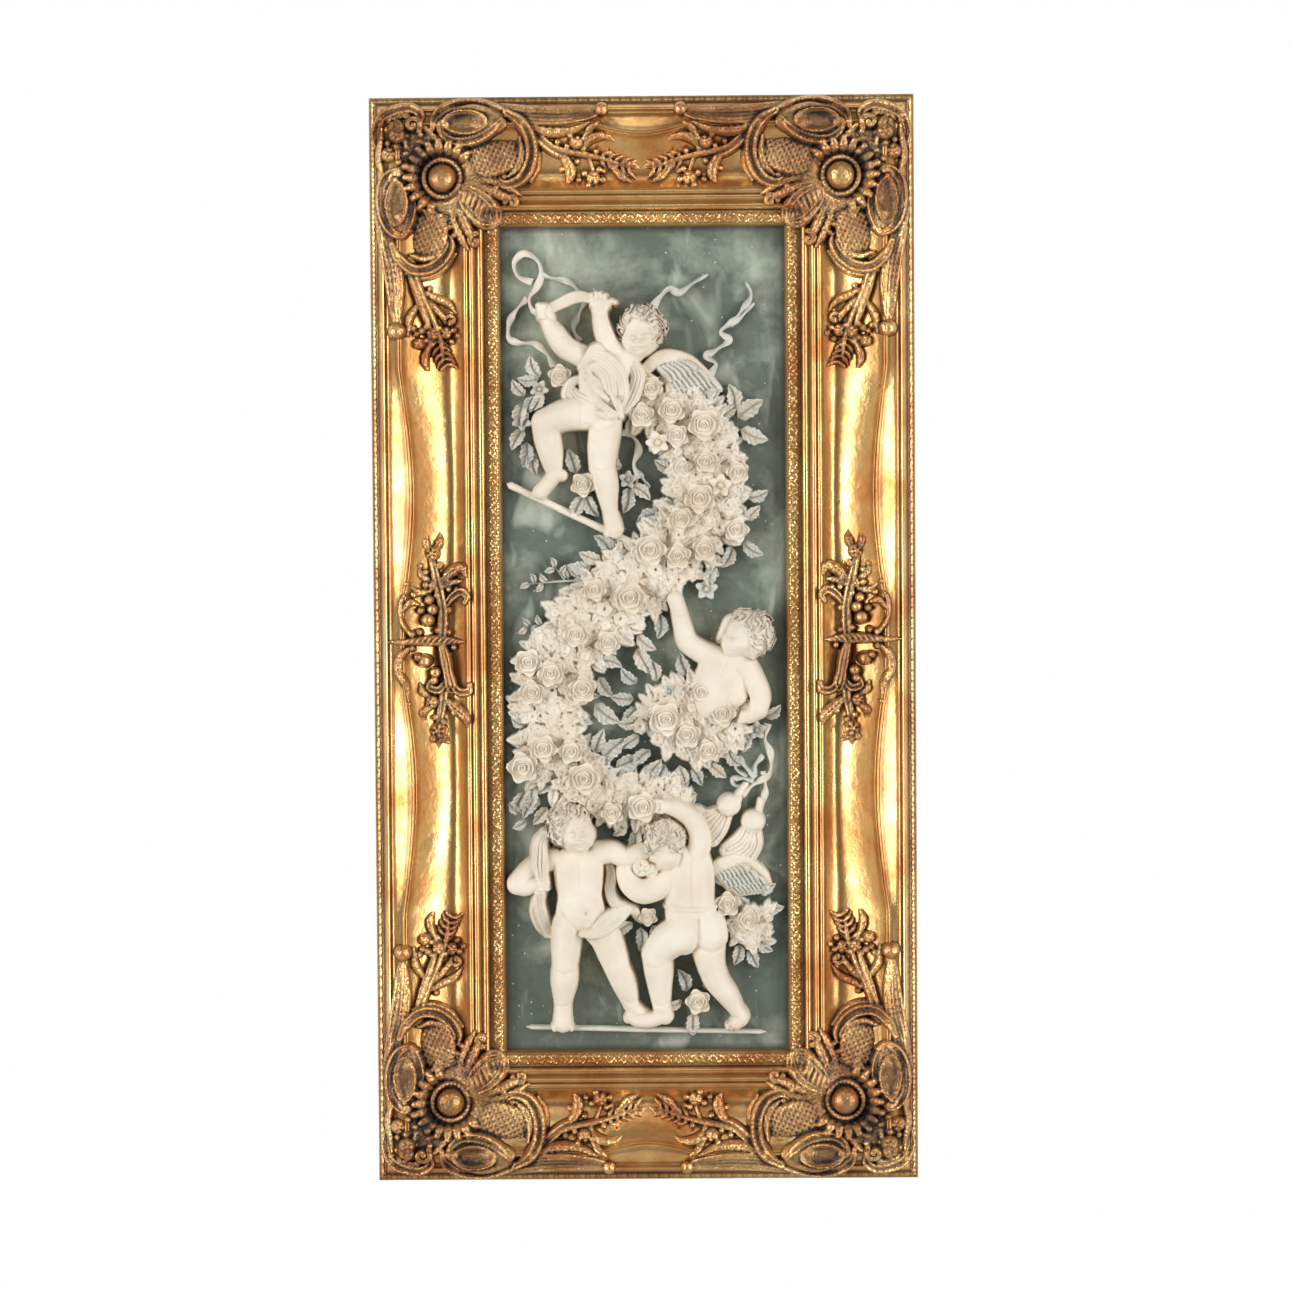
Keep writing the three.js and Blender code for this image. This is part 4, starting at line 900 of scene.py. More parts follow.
def merged(fields, soft):
    """Soft maximum: soft * log(sum(exp(field / soft)))."""
    top = np.max(fields, 0)
    return top + soft * np.log(sum(np.exp(np.clip((f - top) / soft, -30, 0)) for f in fields))


def joined(u, v, soft, *limbs):
    """Limbs that run softly into each other, each (flat, stations) for balls strung."""
    return merged([strung(u, v, stations, flat) for flat, stations in limbs], soft)


def fix_on(field, u, v, stations, flat=1.0):
    """Sets a finger, toe or cord on what is there, with a sharp join."""
    np.maximum(field, strung(u, v, stations, flat), out=field)


def dab(u, v, at, wide, tall, rise):
    """A soft bump or, with a negative rise, a dimple: a bell curve with two widths."""
    x, y = (u - at[0]) / wide, (v - at[1]) / tall
    return rise * np.exp(-x * x - y * y)


def creases(field, u, v, *folds):
    """Cuts fine folds, each (depth, width, points). With the gap to the smooth line through
    its points, a fold takes off depth * exp(-(gap / width)^2)."""
    for depth, width, points in folds:
        line = smooth_line(points, 0.7)
        gap = np.full(u.shape, 99.0)
        near = (u > line[:, 0].min() - 6) & (u < line[:, 0].max() + 6)
        near &= (v > line[:, 1].min() - 6) & (v < line[:, 1].max() + 6)
        gap[near] = np.hypot(u[near][:, None] - line[:, 0], v[near][:, None] - line[:, 1]).min(1)
        field -= depth * np.exp(-((gap / width) ** 2))


def carve_face(field, u, v, at, size, tilt, facing):
    """A plain child's face. In its own axes, in half face widths, every feature is a bell
    curve, on both sides when it stands apart from the middle line. Facing from -1 to 1
    slides the features across as the head turns."""
    c, s = math.cos(tilt), math.sin(tilt)
    x = ((u - at[0]) * c + (v - at[1]) * s) / size
    y = ((v - at[1]) * c - (u - at[0]) * s) / size
    x = (x - 0.42 * facing) / (1 - 0.22 * abs(facing))
    for apart, fy, wx, wy, rise in (
        (0.42, 0.14, 0.25, 0.17, -1.5), (0.42, 0.10, 0.17, 0.10, 1.3), (0.42, 0.01, 0.20, 0.035, -0.6),
        (0.42, 0.38, 0.30, 0.09, 0.7), (0, 0.12, 0.12, 0.26, 1.4), (0, -0.20, 0.17, 0.14, 2.6),
        (0.17, -0.25, 0.09, 0.08, 0.9), (0, -0.50, 0.30, 0.09, 1.2), (0, -0.60, 0.30, 0.04, -1.5),
        (0, -0.69, 0.20, 0.08, 1.2), (0, -0.82, 0.24, 0.06, -0.8), (0, -1.00, 0.26, 0.17, 1.6),
        (0.60, -0.38, 0.30, 0.30, 1.5),
    ):
        for fx in (-apart, apart) if apart else (0,):
            field += rise * size / 7 * np.exp(-(((x - fx) / wx) ** 2) - ((y - fy) / wy) ** 2)


def comb_hair(skull, u, v, head, crown, face, curled, ragged, seed):
    """Hair over the ball of a head. With the angle about the crown bent by the distance
    from it, the locks are |cos(8 * angle)| and |cos(19 * angle)|, and they push the outline
    out. The hairline is an ellipse round the face, (centre, half width, half height, tilt)."""
    cu, cv, ch, radius = head
    angle = np.arctan2(v - crown[1], u - crown[0])
    away = np.hypot(u - crown[0], v - crown[1])
    sway = np.sin(0.55 * away + 1.6 * np.sin(3 * angle + seed))
    bent = angle + curled * sway * np.clip(away / radius, 0, 1)
    locks = np.abs(np.cos(8 * bent + seed)) + 0.5 * np.abs(np.cos(19 * bent - 2 * seed))
    edge = radius * (1.0 + ragged * (locks - 0.7) + 0.05 * np.cos(5 * angle + seed))
    gap = np.hypot(u - cu, v - cv)
    ball = ch + 0.95 * np.sqrt(np.clip(edge**2 - gap**2, 0, None)) - 11 * np.maximum(gap - edge, 0)
    (fu, fv), wide, tall, tilt = face
    x = ((u - fu) * math.cos(tilt) + (v - fv) * math.sin(tilt)) / wide
    y = ((v - fv) * math.cos(tilt) - (u - fu) * math.sin(tilt)) / tall
    bare = np.clip((1.0 + 0.12 * (locks - 0.7) - np.hypot(x, y)) / 0.12, 0, 1)
    waves = 0.6 * np.cos(0.9 * away + 2.5 * np.sin(3 * angle + seed)) + 0.3 * np.cos(31 * bent + seed)
    np.maximum(skull, ball + 1.5 * locks + waves - 1.0 - 9 * bare, out=skull)


def figure_grid(low, high, step=0.6):
    """A square grid of places on the panel, every step millimetres."""
    return np.meshgrid(np.arange(low[0], high[0], step), np.arange(low[1], high[1], step))


def cloth(field, u, v, stations, flat=0.5, kind="folds"):
    """A strap or fold of cloth lying on a figure, its heights measured from the ground."""
    stroke(field, u, v, np.zeros(u.shape), kind, flat, stations, 8.0)


def rosette(field, u, v, at, lift, radius):
    """A small flower of five petals on a figure, its height measured from the ground."""
    boss(field, u, v, np.zeros(u.shape), at, lift, radius, petals=5, rise=0.8)


def figure_sheet(u, v, field):
    """A finished figure, cut off a little under the ground, with its recesses marked for a tone wash and
    painted shade.
    """
    keep = field > UNDER_GROUND
    hollow = np.clip((box_blur(np.maximum(field, UNDER_GROUND), 3) - field) / 3.3, 0, 1)
    low = np.clip(1 - field / 7, 0, 1)
    return field_sheet(on_panel(u, v, np.maximum(field, -1.6)), keep, hollow=hollow, low=low)


def toes(field, u, v, first, last, count, radius, height):
    """A row of toes from the big one to the little one, each a little smaller."""
    for k, t in enumerate(np.linspace(0, 1, count)):
        at = (first[0] + (last[0] - first[0]) * t, first[1] + (last[1] - first[1]) * t)
        r = radius * (1.25 - 0.45 * k / count)
        fix_on(field, u, v, [(at[0], at[1] + 1.4, height, r), (at[0], at[1], height - 0.6, r)])


def upper_child():
    """Steps along the pole with both arms raised to the ribbon, chest wrapped in cloth."""
    u, v = figure_grid((12, 318), (112, 482))
    body = joined(
        u, v, 0.9,
        (0.9, [(78, 436, 11, 8), (70, 428, 11, 12), (64, 414, 11, 12), (62, 404, 10, 12)]),
        (0.9, [(57, 434, 10, 8), (60, 424, 10, 11), (58, 406, 10, 10)]),
        (1.0, [(86, 441, 11, 6), (79, 436, 11, 7)]),
        (0.95, [(58, 402, 11, 10.5), (42, 401, 14, 9.6), (28, 396, 15, 8.4)]),
        (1.0, [(28, 396, 15, 8.2), (29, 386, 13, 8), (31, 376, 12, 7.2), (33, 366, 9, 5)]),
        (1.0, [(66, 400, 11, 10), (65, 391, 11, 9.8), (63.5, 379, 12, 9), (63, 368, 12, 7.8)]),
        (1.0, [(63, 368, 12, 7.6), (65.5, 357, 11, 7.3), (67.5, 342, 9, 4.9), (68.5, 336, 9, 4.8)]),
    )
    foot = joined(
        u, v, 0.6,
        (1.0, [(34, 364, 9, 4.8), (37.5, 363, 8, 3.8)]),
        (1.0, [(33, 363, 9, 4.6), (28, 357, 9, 4.4), (24, 352.5, 8, 4.6)]),
        (0.8, [(68.5, 338, 9, 4.8), (70, 331, 10, 5.4), (70.5, 328, 9, 5)]),
    )
    left_arm = strung(u, v, [
        (52, 437, 10, 7), (46, 440, 12, 6.6), (40, 444, 13, 6.5), (34.5, 451.5, 14, 5.8),
        (30.3, 458, 13, 4.3),
    ])
    right_arm = strung(u, v, [
        (74, 437, 12, 7), (68.5, 444, 14, 6.2), (65, 452, 16, 5.6), (63, 460, 16, 4.6),
        (62.8, 464, 16, 4.2),
    ])
    hands = joined(
        u, v, 0.5,
        (1.0, [(30, 460, 13, 4.6), (27.6, 465.5, 13, 5.3)]),
        (0.8, [(62.8, 463, 16, 4.4), (62, 469.5, 16, 4.8)]),
    )
    field = merged([body, foot, left_arm, right_arm, hands], 0.55)
    for k, top in enumerate((475.2, 476.2, 476, 474.8)):
        pu = 57.4 + 2.7 * k
        fix_on(field, u, v, [(pu + 0.8, 469, 17, 1.7), (pu, top, 17.5, 1.35)])
    fix_on(field, u, v, [(66, 467, 17, 2), (69, 471, 17, 1.9), (71.6, 470.5, 16, 1.5)])
    for k in range(4):
        fix_on(field, u, v, [(24.2 + 0.3 * k, 469.0 - 2.4 * k, 17, 1.5), (27.5, 468.5 - 2.4 * k, 18, 1.5)])
    toes(field, u, v, (66, 325.5), (74.5, 328), count=5, radius=1.45, height=11)
    toes(field, u, v, (20.5, 350.5), (26, 348.5), count=4, radius=1.4, height=8)
    creases(
        field, u, v,
        (1.0, 1.1, [(49, 410), (50.5, 402), (49.5, 394)]),
        (0.9, 1.3, [(53, 394), (60, 391), (72, 393)]),
        (0.8, 0.7, [(28, 462), (31, 460.5), (35, 461)]),
        (0.8, 0.7, [(59, 463), (63, 462), (67, 463)]),
        (0.6, 0.8, [(31, 444), (35, 446), (40, 450)]),
        (0.6, 0.9, [(57, 367), (63, 365.5), (69, 367)]),
    )
    head = (88.5, 454.5, 12, 13.8)
    skull = joined(
        u, v, 0.8,
        (1.0, [(88.5, 455, 12, 13.2), (88.4, 454.5, 12, 13.2)]),
        (1.0, [(86.8, 448, 14, 10.6), (86.9, 447, 14, 10.6)]),
        (1.0, [(86.4, 440.5, 14, 4.6), (86.5, 440, 14, 4.6)]),
        (1.0, [(80.6, 446, 14, 5), (80.7, 445.6, 14, 5)]),
        (1.0, [(92.5, 445, 14, 5), (92.6, 444.6, 14, 5)]),
    )
    carve_face(skull, u, v, (86.8, 447.5), size=9.0, tilt=0.10, facing=0.12)
    comb_hair(
        skull, u, v, head, (90, 460), ((85.8, 447), 9.2, 11.8, 0.10), curled=0.45, ragged=0.16, seed=1.0,
    )
    np.maximum(field, skull, out=field)
    # Cloth bound over the chest like folded leaves, knotted at the hip.
    for flat, stations in (
        (0.4, [
            (52, 431, 17, 2.5), (58, 437.5, 19.5, 3.4), (67, 434.5, 22, 4.2), (74, 425, 22.5, 4.2),
            (76, 412, 20.5, 3.8), (71, 402, 19, 2.5),
        ]),
        (0.4, [
            (54, 427, 18, 2), (60, 430, 21, 3.4), (66.5, 425, 23, 4.2), (69, 414, 22, 3.8),
            (66, 404, 19.5, 2.4),
        ]),
        (0.4, [(54, 422, 18, 1.8), (59, 421, 21.5, 3.4), (62, 414, 21.5, 3.6), (60.5, 405, 19.5, 2.2)]),
        (0.6, [(55, 434, 18, 1.6), (57, 440, 20, 2.2), (61, 443, 20, 2), (65, 439, 20, 1.4)]),
        (0.5, [(82, 434, 16, 3), (86, 424, 16, 4.2), (83, 412, 16, 4), (78, 404, 17, 2.5)]),
        (0.55, [(44, 416, 11, 3), (48, 411, 15, 4.6), (53, 409, 18, 4), (60, 405, 20, 3)]),
        (0.55, [(45, 408, 11, 3), (50, 405, 16, 4), (58, 401, 20, 3)]),
        (0.8, [(60, 411, 20, 1.3), (65, 405, 23.5, 2.2), (72, 401, 22, 1.4)]),
        (0.8, [(58, 403, 20, 1.3), (66, 400, 23, 2.2), (74, 400, 20.5, 1.4)]),
        (0.8, [(69, 413, 23, 1.3), (73, 407, 24.5, 2), (75, 400, 21, 1.3)]),
        (0.8, [(56, 428, 20, 1), (60, 417, 23, 1.8), (67, 410, 24.5, 1.2)]),
        (0.6, [(50, 423, 12, 2), (44, 420, 12, 3), (42, 413, 11, 3.4), (46, 408, 12, 2.4)]),
    ):
        cloth(field, u, v, stations, flat)
    for pu, pv, r in ((66, 402, 4.4), (72, 406, 4), (61, 399, 3.6), (75, 413, 3.6), (70, 397.5, 3)):
        rosette(field, u, v, (pu, pv), 18.6, r)
    return figure_sheet(u, v, field)


def middle_child():
    """Reaches up into the garland, head bowed to the left above the bunch of roses."""
    u, v = figure_grid((98, 192), (177, 292))
    body = joined(
        u, v, 0.9,
        (0.9, [(143, 247, 10, 8), (140, 240, 9, 11), (134, 231, 8, 13), (130, 220, 6, 12)]),
        (0.9, [(131, 246, 10, 8), (132, 240, 9, 10), (128, 228, 7, 10)]),
        (0.9, [(150, 244, 9, 7.5), (146, 238, 9, 9), (144, 226, 7, 10)]),
        (1.0, [(150, 246, 9, 7.4), (156, 236, 10, 7), (161, 224, 10, 6.5), (160, 215, 10, 6)]),
        (1.0, [
            (134, 247, 10, 7.6), (124, 252, 11, 6.8), (116, 258, 11, 6.3), (112.5, 268, 11, 5.6),
            (110, 279, 10, 4.6),
        ]),
        (1.0, [(146, 251, 11, 7.5), (143, 246, 10, 7)]),
    )
    hands = joined(
        u, v, 0.5,
        (1.0, [(110, 279, 10, 4.6), (108, 285, 11, 4.6)]),
        (1.0, [(160, 214, 10, 5), (154, 211, 12, 4.4)]),
    )
    field = merged([body, hands], 0.6)
    for k in range(4):
        fix_on(field, u, v, [
            (156.5 - 0.9 * k, 212.5 - 1.0 * k, 14, 1.5), (150 - 0.6 * k, 213 - 1.7 * k, 15, 1.4),
        ])
    creases(
        field, u, v,
        (0.7, 1.2, [(136, 236), (139, 244), (143, 250)]),
        (0.9, 1.2, [(147, 240), (150, 234), (151, 226)]),
        (0.5, 0.9, [(112, 258), (117, 262), (121, 263)]),
        (0.8, 0.7, [(106, 276), (110, 275), (114, 276)]),
    )
    head = (155, 262.5, 12, 14.6)
    skull = joined(
        u, v, 0.9,
        (1.0, [(154.8, 262.5, 12, 14.2), (154.5, 262, 12, 14.2)]),
        (1.0, [(145.8, 256.5, 14, 8.4), (145.5, 256, 14, 8.2)]),
        (1.0, [(142.5, 259.5, 13, 4.6), (142.6, 259, 13, 4.6)]),
        (1.0, [(143.5, 250.5, 12, 3.8), (143.6, 250, 12, 3.8)]),
        (1.0, [(139.9, 256.5, 13, 1.7), (139.6, 255.4, 13, 1.6)]),
    )
    skull += dab(u, v, (144, 261.5), 2.6, 1.6, -1.2) + dab(u, v, (141.5, 252.6), 2.2, 0.5, -0.9)
    skull += dab(u, v, (147.5, 254.5), 3.6, 3.4, 1.4)
    comb_hair(
        skull, u, v, head, (156, 264), ((145.5, 255.5), 9.5, 14, 0.15), curled=0.45, ragged=0.14, seed=2.3,
    )
    np.maximum(field, skull, out=field)
    # Small wing folded behind the cheek.
    wing = np.full(u.shape, NOTHING_THERE)
    for k in range(5):
        root, mid = (147 - 1.3 * k, 273 - 2.4 * k), (142 - 1.2 * k, 271.5 - 2.6 * k)
        tip = (137.5 - 0.4 * k, 266 - 2.0 * k)
        cloth(wing, u, v, [(*root, 7, 2), (*mid, 8.5, 2.2), (*tip, 6, 0.9)], 0.6, "leaf")
    np.maximum(field, wing, out=field)
    return figure_sheet(u, v, field)


def front_child():
    """Stands to the front under the garland, a strip of cloth held over one shoulder."""
    u, v = figure_grid((-3, 6), (104, 166))
    body = joined(
        u, v, 0.9,
        (0.95, [(40, 119, 10, 10), (41.5, 108, 10, 10), (43, 98, 10, 9.8), (42.5, 84, 10, 11)]),
        (0.95, [(52, 119, 10, 10), (51.5, 108, 10, 10), (51, 98, 10, 9.8), (53, 84, 10, 11)]),
        (0.95, [(48, 93, 12, 11), (48, 88, 12, 10.5)]),
        (1.0, [(46, 129, 11, 6.5), (46, 124, 11, 8)]),
        (1.0, [(40, 80, 10, 10.6), (38.7, 74, 10.5, 9.8), (38, 63, 11, 8.8), (37.4, 55, 11, 7.6)]),
        (1.0, [(37.4, 55, 11, 7.7), (36.8, 45, 11, 8.1), (36, 34, 10, 5.8), (35.8, 28, 9, 4.9)]),
        (1.0, [(57, 80, 10, 10.6), (63, 72, 11, 9.8), (67.5, 61, 11, 9), (70, 53.5, 11, 8)]),
        (1.0, [(70, 53.5, 11, 8), (74.6, 43, 10, 7.7), (78, 32, 9, 5.3), (79, 29, 8, 5)]),
    )
    arms = joined(
        u, v, 0.7,
        (1.0, [(31, 122, 10, 7), (23, 119, 10, 6.6), (15, 114, 11, 6.3), (7.5, 106.5, 11, 6)]),
        (1.0, [(7.5, 105.5, 11, 6), (13, 104.5, 13, 5.5), (19, 106, 14, 4.4)]),
        (1.0, [
            (59, 125, 10, 7.2), (68, 126, 11, 6.5), (76, 122.5, 12, 6.2), (87, 126, 11, 5.5),
            (94, 126, 9, 4.6),
        ]),
    )
    feet = joined(
        u, v, 0.6,
        (0.85, [(35.8, 28, 9, 5), (35.6, 22, 10, 5.4), (35.6, 18, 9.5, 6)]),
        (1.0, [(79, 29, 8, 5), (83, 25, 7, 4.8), (87, 23, 6, 4)]),
        (1.0, [(19, 106, 14, 4.4), (23.5, 107, 15, 4.8)]),
    )
    field = merged([body, arms, feet], 0.6)
    toes(field, u, v, (30.5, 14.5), (41, 14), count=5, radius=1.5, height=10.5)
    for k in range(4):
        fix_on(field, u, v, [(21 + 0.4 * k, 110.4 - 2.2 * k, 19, 1.3), (26.6, 110 - 2.1 * k, 18.5, 1.35)])
    field += dab(u, v, (40.5, 116.5), 8, 5, 0.9) + dab(u, v, (53.5, 116.5), 8, 5, 0.9)
    field += dab(u, v, (47, 113), 1.6, 7, -0.7) + dab(u, v, (51, 88.5), 1.0, 1.2, -1.8)
    field += dab(u, v, (37.3, 55), 4, 3, 0.7) + dab(u, v, (70.5, 54), 4, 3, 0.7)
    field += dab(u, v, (40, 115.6), 0.8, 0.8, 0.5) + dab(u, v, (54, 115.6), 0.8, 0.8, 0.5)
    creases(
        field, u, v,
        (1.1, 1.2, [(36.5, 88), (41, 82), (46.5, 76.5)]),
        (1.1, 1.2, [(60.5, 89), (57, 83), (52, 77)]),
        (0.7, 0.8, [(39, 128), (42, 125.5), (48, 124.5)]),
        (0.7, 0.8, [(31, 30.5), (36, 29), (41, 30.5)]),
        (0.6, 0.8, [(74, 33), (79, 31), (83.5, 33)]),
        (0.6, 0.9, [(31, 52), (37, 50.5), (43, 52)]),
        (0.5, 0.8, [(69, 119), (73, 117), (77, 117)]),
    )
    head = (40.5, 143, 13, 13.6)
    skull = joined(
        u, v, 0.8,
        (1.0, [(41, 143, 13, 13), (41.4, 142.5, 13, 13)]),
        (1.0, [(45.5, 137.5, 15, 10.8), (45.8, 137, 15, 10.8)]),
        (1.0, [(47.6, 129.8, 15, 4.6), (47.8, 129.4, 15, 4.6)]),
        (1.0, [(41, 133.5, 15, 5), (41.2, 133, 15, 5)]),
        (1.0, [(51.5, 134, 15, 4.4), (51.6, 133.6, 15, 4.4)]),
    )
    carve_face(skull, u, v, (45.6, 137.6), size=9.2, tilt=0.10, facing=0.42)
    comb_hair(
        skull, u, v, head, (39, 149), ((46.2, 136), 9.6, 11.6, 0.10), curled=0.55, ragged=0.13, seed=3.7,
    )
    np.maximum(field, skull, out=field)
    # Strip of cloth over the shoulder, through the fist and down; a knot and loin cloth.
    for flat, stations in (
        (0.55, [(25, 137, 16, 2.6), (22.5, 131, 18, 4.2), (22.5, 121, 19, 4.8), (23.5, 112, 19, 3.6)]),
        (0.6, [(22, 101, 18, 3), (21.6, 94, 14, 3.2), (24, 84, 11, 3.4), (27.5, 75, 8, 2.8)]),
        (0.6, [(19.5, 98, 13, 1.8), (18.5, 88, 9, 2.6), (21.5, 79, 7, 2.6), (25.5, 73.5, 5, 1.6)]),
        (0.6, [
            (64.5, 122, 7, 2), (67, 112, 8, 3), (66, 102, 9, 3.2), (69, 94, 11, 3.4),
            (75.5, 90.5, 11, 3.2),
        ]),
        (0.5, [
            (49.5, 75.5, 20.5, 2), (56, 76, 22, 3.2), (64, 79, 20.5, 3.6), (71, 84.5, 16.5, 3.2),
            (77, 89, 12, 2),
        ]),
        (0.5, [(57, 80, 21, 1.8), (63, 84, 20.5, 3.2), (70, 88, 17, 3), (77, 90.5, 12, 2)]),
        (0.6, [(76, 91, 11, 2), (81, 88.5, 9, 2.8), (84, 84, 6, 2.4), (87, 81, 4, 1)]),
    ):
        cloth(field, u, v, stations, flat)
    return figure_sheet(u, v, field)


def back_child():
    """Strides to the left, seen from behind, one arm bent over the bowed head."""
    u, v = figure_grid((68, 6), (160, 168))
    body = joined(
        u, v, 0.9,
        (0.95, [(111, 122, 11, 9), (111, 112, 10, 11), (111, 98, 10, 10.5), (112, 86, 10, 11)]),
        (0.95, [(121, 122, 10, 8), (122, 112, 10, 9.6), (122, 98, 10, 9.6), (123, 86, 10, 10.5)]),
        (0.95, [(114, 78, 12, 12.5), (112, 73, 12, 12)]),
        (0.95, [(127, 79, 10, 12), (129, 73, 10, 11)]),
        (1.0, [(113, 76, 12, 12), (102, 69, 13, 11), (95, 61.5, 13, 9)]),
        (1.0, [(95, 61.5, 13, 9), (96.3, 51, 13, 8.7), (97, 39, 11.5, 6.8), (98, 28.5, 11, 5.2)]),
        (1.0, [(128, 72, 9, 11), (128, 62, 9, 10), (129.5, 53, 9, 8.6)]),
        (1.0, [(129.5, 53, 9, 8.6), (133, 44, 9, 7.9), (139.5, 35, 8, 6.8), (145, 26.5, 8, 4.9)]),
    )
    arms = joined(
        u, v, 0.8,
        (1.0, [(119, 122, 11, 7.5), (122.3, 130, 13, 7), (122, 139, 14, 6.8), (118.5, 146.5, 15, 6.4)]),
        (1.0, [(118.5, 147, 15, 6.3), (110, 153, 16, 5.8), (102, 155, 14, 4.6)]),
        (1.0, [
            (106, 112, 11, 7.5), (98, 105, 12, 8), (87, 101.5, 13, 8), (79.5, 105.5, 13, 6.9),
            (76, 113, 12, 5.8), (76.5, 118.5, 11, 4.8),
        ]),
    )
    feet = joined(
        u, v, 0.6,
        (1.0, [(98, 28.5, 11, 5.3), (100, 22, 10, 5.2)]),
        (1.0, [(99.5, 22.5, 10, 4.6), (91, 19.8, 11, 4.6), (83, 20, 11, 4.6), (79.5, 21.5, 10, 3.8)]),
        (1.0, [(145, 26.5, 8, 5), (148.3, 21, 8, 5), (145, 17.5, 8, 4.4)]),
        (1.0, [(77, 118, 11, 4.6), (80, 121, 12, 4.4)]),
        (1.0, [(102, 155, 14, 4.6), (97, 155.5, 13, 4)]),
    )
    field = merged([body, arms, feet], 0.6)
    toes(field, u, v, (76.5, 19.5), (77.5, 23), count=3, radius=1.6, height=10)
    toes(field, u, v, (140, 14.5), (145, 13), count=3, radius=1.4, height=7.5)
    for k in range(4):
        fix_on(field, u, v, [(79 + 1.9 * k, 121, 14, 1.5), (80.5 + 1.9 * k, 124, 15, 1.3)])
        fix_on(field, u, v, [(99, 158 - 2.1 * k, 16, 1.5), (94.5, 158.5 - 2.1 * k, 16, 1.3)])
    creases(
        field, u, v,
        (0.8, 1.5, [(117.5, 122), (117, 108), (117.5, 94)]),
        (1.6, 1.3, [(121.5, 84), (121, 76), (119.5, 66), (116, 62)]),
        (0.9, 1.2, [(119, 64.5), (110, 62), (103, 58)]),
        (0.9, 1.2, [(122, 66), (130, 63.5), (137, 66)]),
        (0.6, 0.9, [(103, 94), (107, 92.5), (112, 93)]),
        (0.7, 0.8, [(93, 31), (98, 29.5), (103, 31)]),
        (0.5, 1.0, [(89, 55), (94, 54), (100, 56)]),
    )
    field += dab(u, v, (109, 113), 4, 6, 0.8) + dab(u, v, (125, 113), 4, 6, 0.6)
    head = (101, 134, 13, 13.2)
    skull = joined(
        u, v, 0.8,
        (1.0, [(101.5, 134.5, 13, 12.6), (101.3, 134, 13, 12.6)]),
        (1.0, [(103, 123.5, 15, 8.4), (102.8, 123, 15, 8.2)]),
        (1.0, [(97, 124, 14, 5.4), (96.6, 123.6, 14, 5.2)]),
        (1.0, [(97.6, 117.8, 13, 3.4), (97.4, 117.4, 13, 3.4)]),
        (1.0, [(92.9, 122.3, 13, 1.8), (92.4, 121.3, 13, 1.7)]),
    )
    skull += dab(u, v, (96, 127.5), 2.4, 1.3, -1.3) + dab(u, v, (94.6, 118.9), 2.2, 0.5, -1.0)
    skull += dab(u, v, (104.5, 122), 3.8, 3.6, 1.5)
    comb_hair(
        skull, u, v, head, (102, 137), ((99.5, 121.5), 7.8, 8.8, 0.10), curled=0.70, ragged=0.11, seed=5.1,
    )
    cloth(skull, u, v, curl((111.5, 120.5), 2.0, 1.2, 4.4, 18, 1.5, -1), 0.5, "round")
    np.maximum(field, skull, out=field)
    creases(field, u, v, (1.2, 1.0, [(109.5, 118), (111, 124), (110, 131)]))
    # Thin sash at the waist and the small flower in the bent arm's hand.
    cloth(field, u, v, [
        (102.5, 91.5, 16, 1), (108, 90.6, 19.8, 1.2), (117, 90.3, 20.6, 1.2), (126, 90.6, 19.2, 1.2),
        (132, 91.5, 14, 1),
    ], 0.7)
    rosette(field, u, v, (86, 116.5), 16, 5.2)
    rosette(field, u, v, (92, 114.5), 15.5, 4.2)
    return figure_sheet(u, v, field)


def cast_cream(name, shade):
    """The painted casting: ivory on the heights, a warm grey tone and painted shade in the
    recesses, and, where a leaf or ribbon lies low, a thin blue-grey wash whose recesses and veins go dark
    green with the same painted shade."""
    material, tree, add, shader = new_material(name)
    place = add("ShaderNodeTexCoord").outputs["Object"]
    hollow, wash = mark_of(add, "hollow"), mark_of(add, "wash")
    clouds = noise(add, place, 38.0, 4.0, Roughness=0.55)
    grain = noise(add, place, 520.0, 3.0, Roughness=0.6)
    tint = spread(add, clouds, 0.35, 0.68)
    ivory = blend_colour(add, tint, shade, srgb(0.90, 0.85, 0.77))
    washed = blend_colour(add, tint, srgb(0.83, 0.84, 0.81), srgb(0.71, 0.74, 0.72))
    ivory = blend_colour(add, wash, ivory, washed)
    # Recess colour, warm grey or dark green where washed: a tone wash together with painted shade.
    recess_colour_and_shade = blend_colour(add, wash, srgb(0.76, 0.66, 0.50), srgb(0.34, 0.37, 0.35))
    colour = blend_colour(add, reckon(add, "MULTIPLY", hollow, 0.75), ivory, recess_colour_and_shade)
    shader.inputs["Roughness"].default_value = 0.5
    shader.inputs["Subsurface Weight"].default_value = 0.08
    shader.inputs["Subsurface Radius"].default_value = (1, 0.7, 0.5)
    shader.inputs["Subsurface Scale"].default_value = 0.002
    finish_coat(tree, add, shader, colour, grain, strength=0.2, distance=0.0004)
    return material


cream = cast_cream("cast_cream", srgb(0.95, 0.915, 0.85))


def cast(name, *sheets):
    """A piece of the one cream casting, which stands for the CAD's relief panel."""
    build(name, sheets, cream, ["relief_panel"])


for name, figure in (
    ("upper_child", upper_child), ("middle_child", middle_child),
    ("front_child", front_child), ("back_child", back_child),
):
    cast(name, figure())


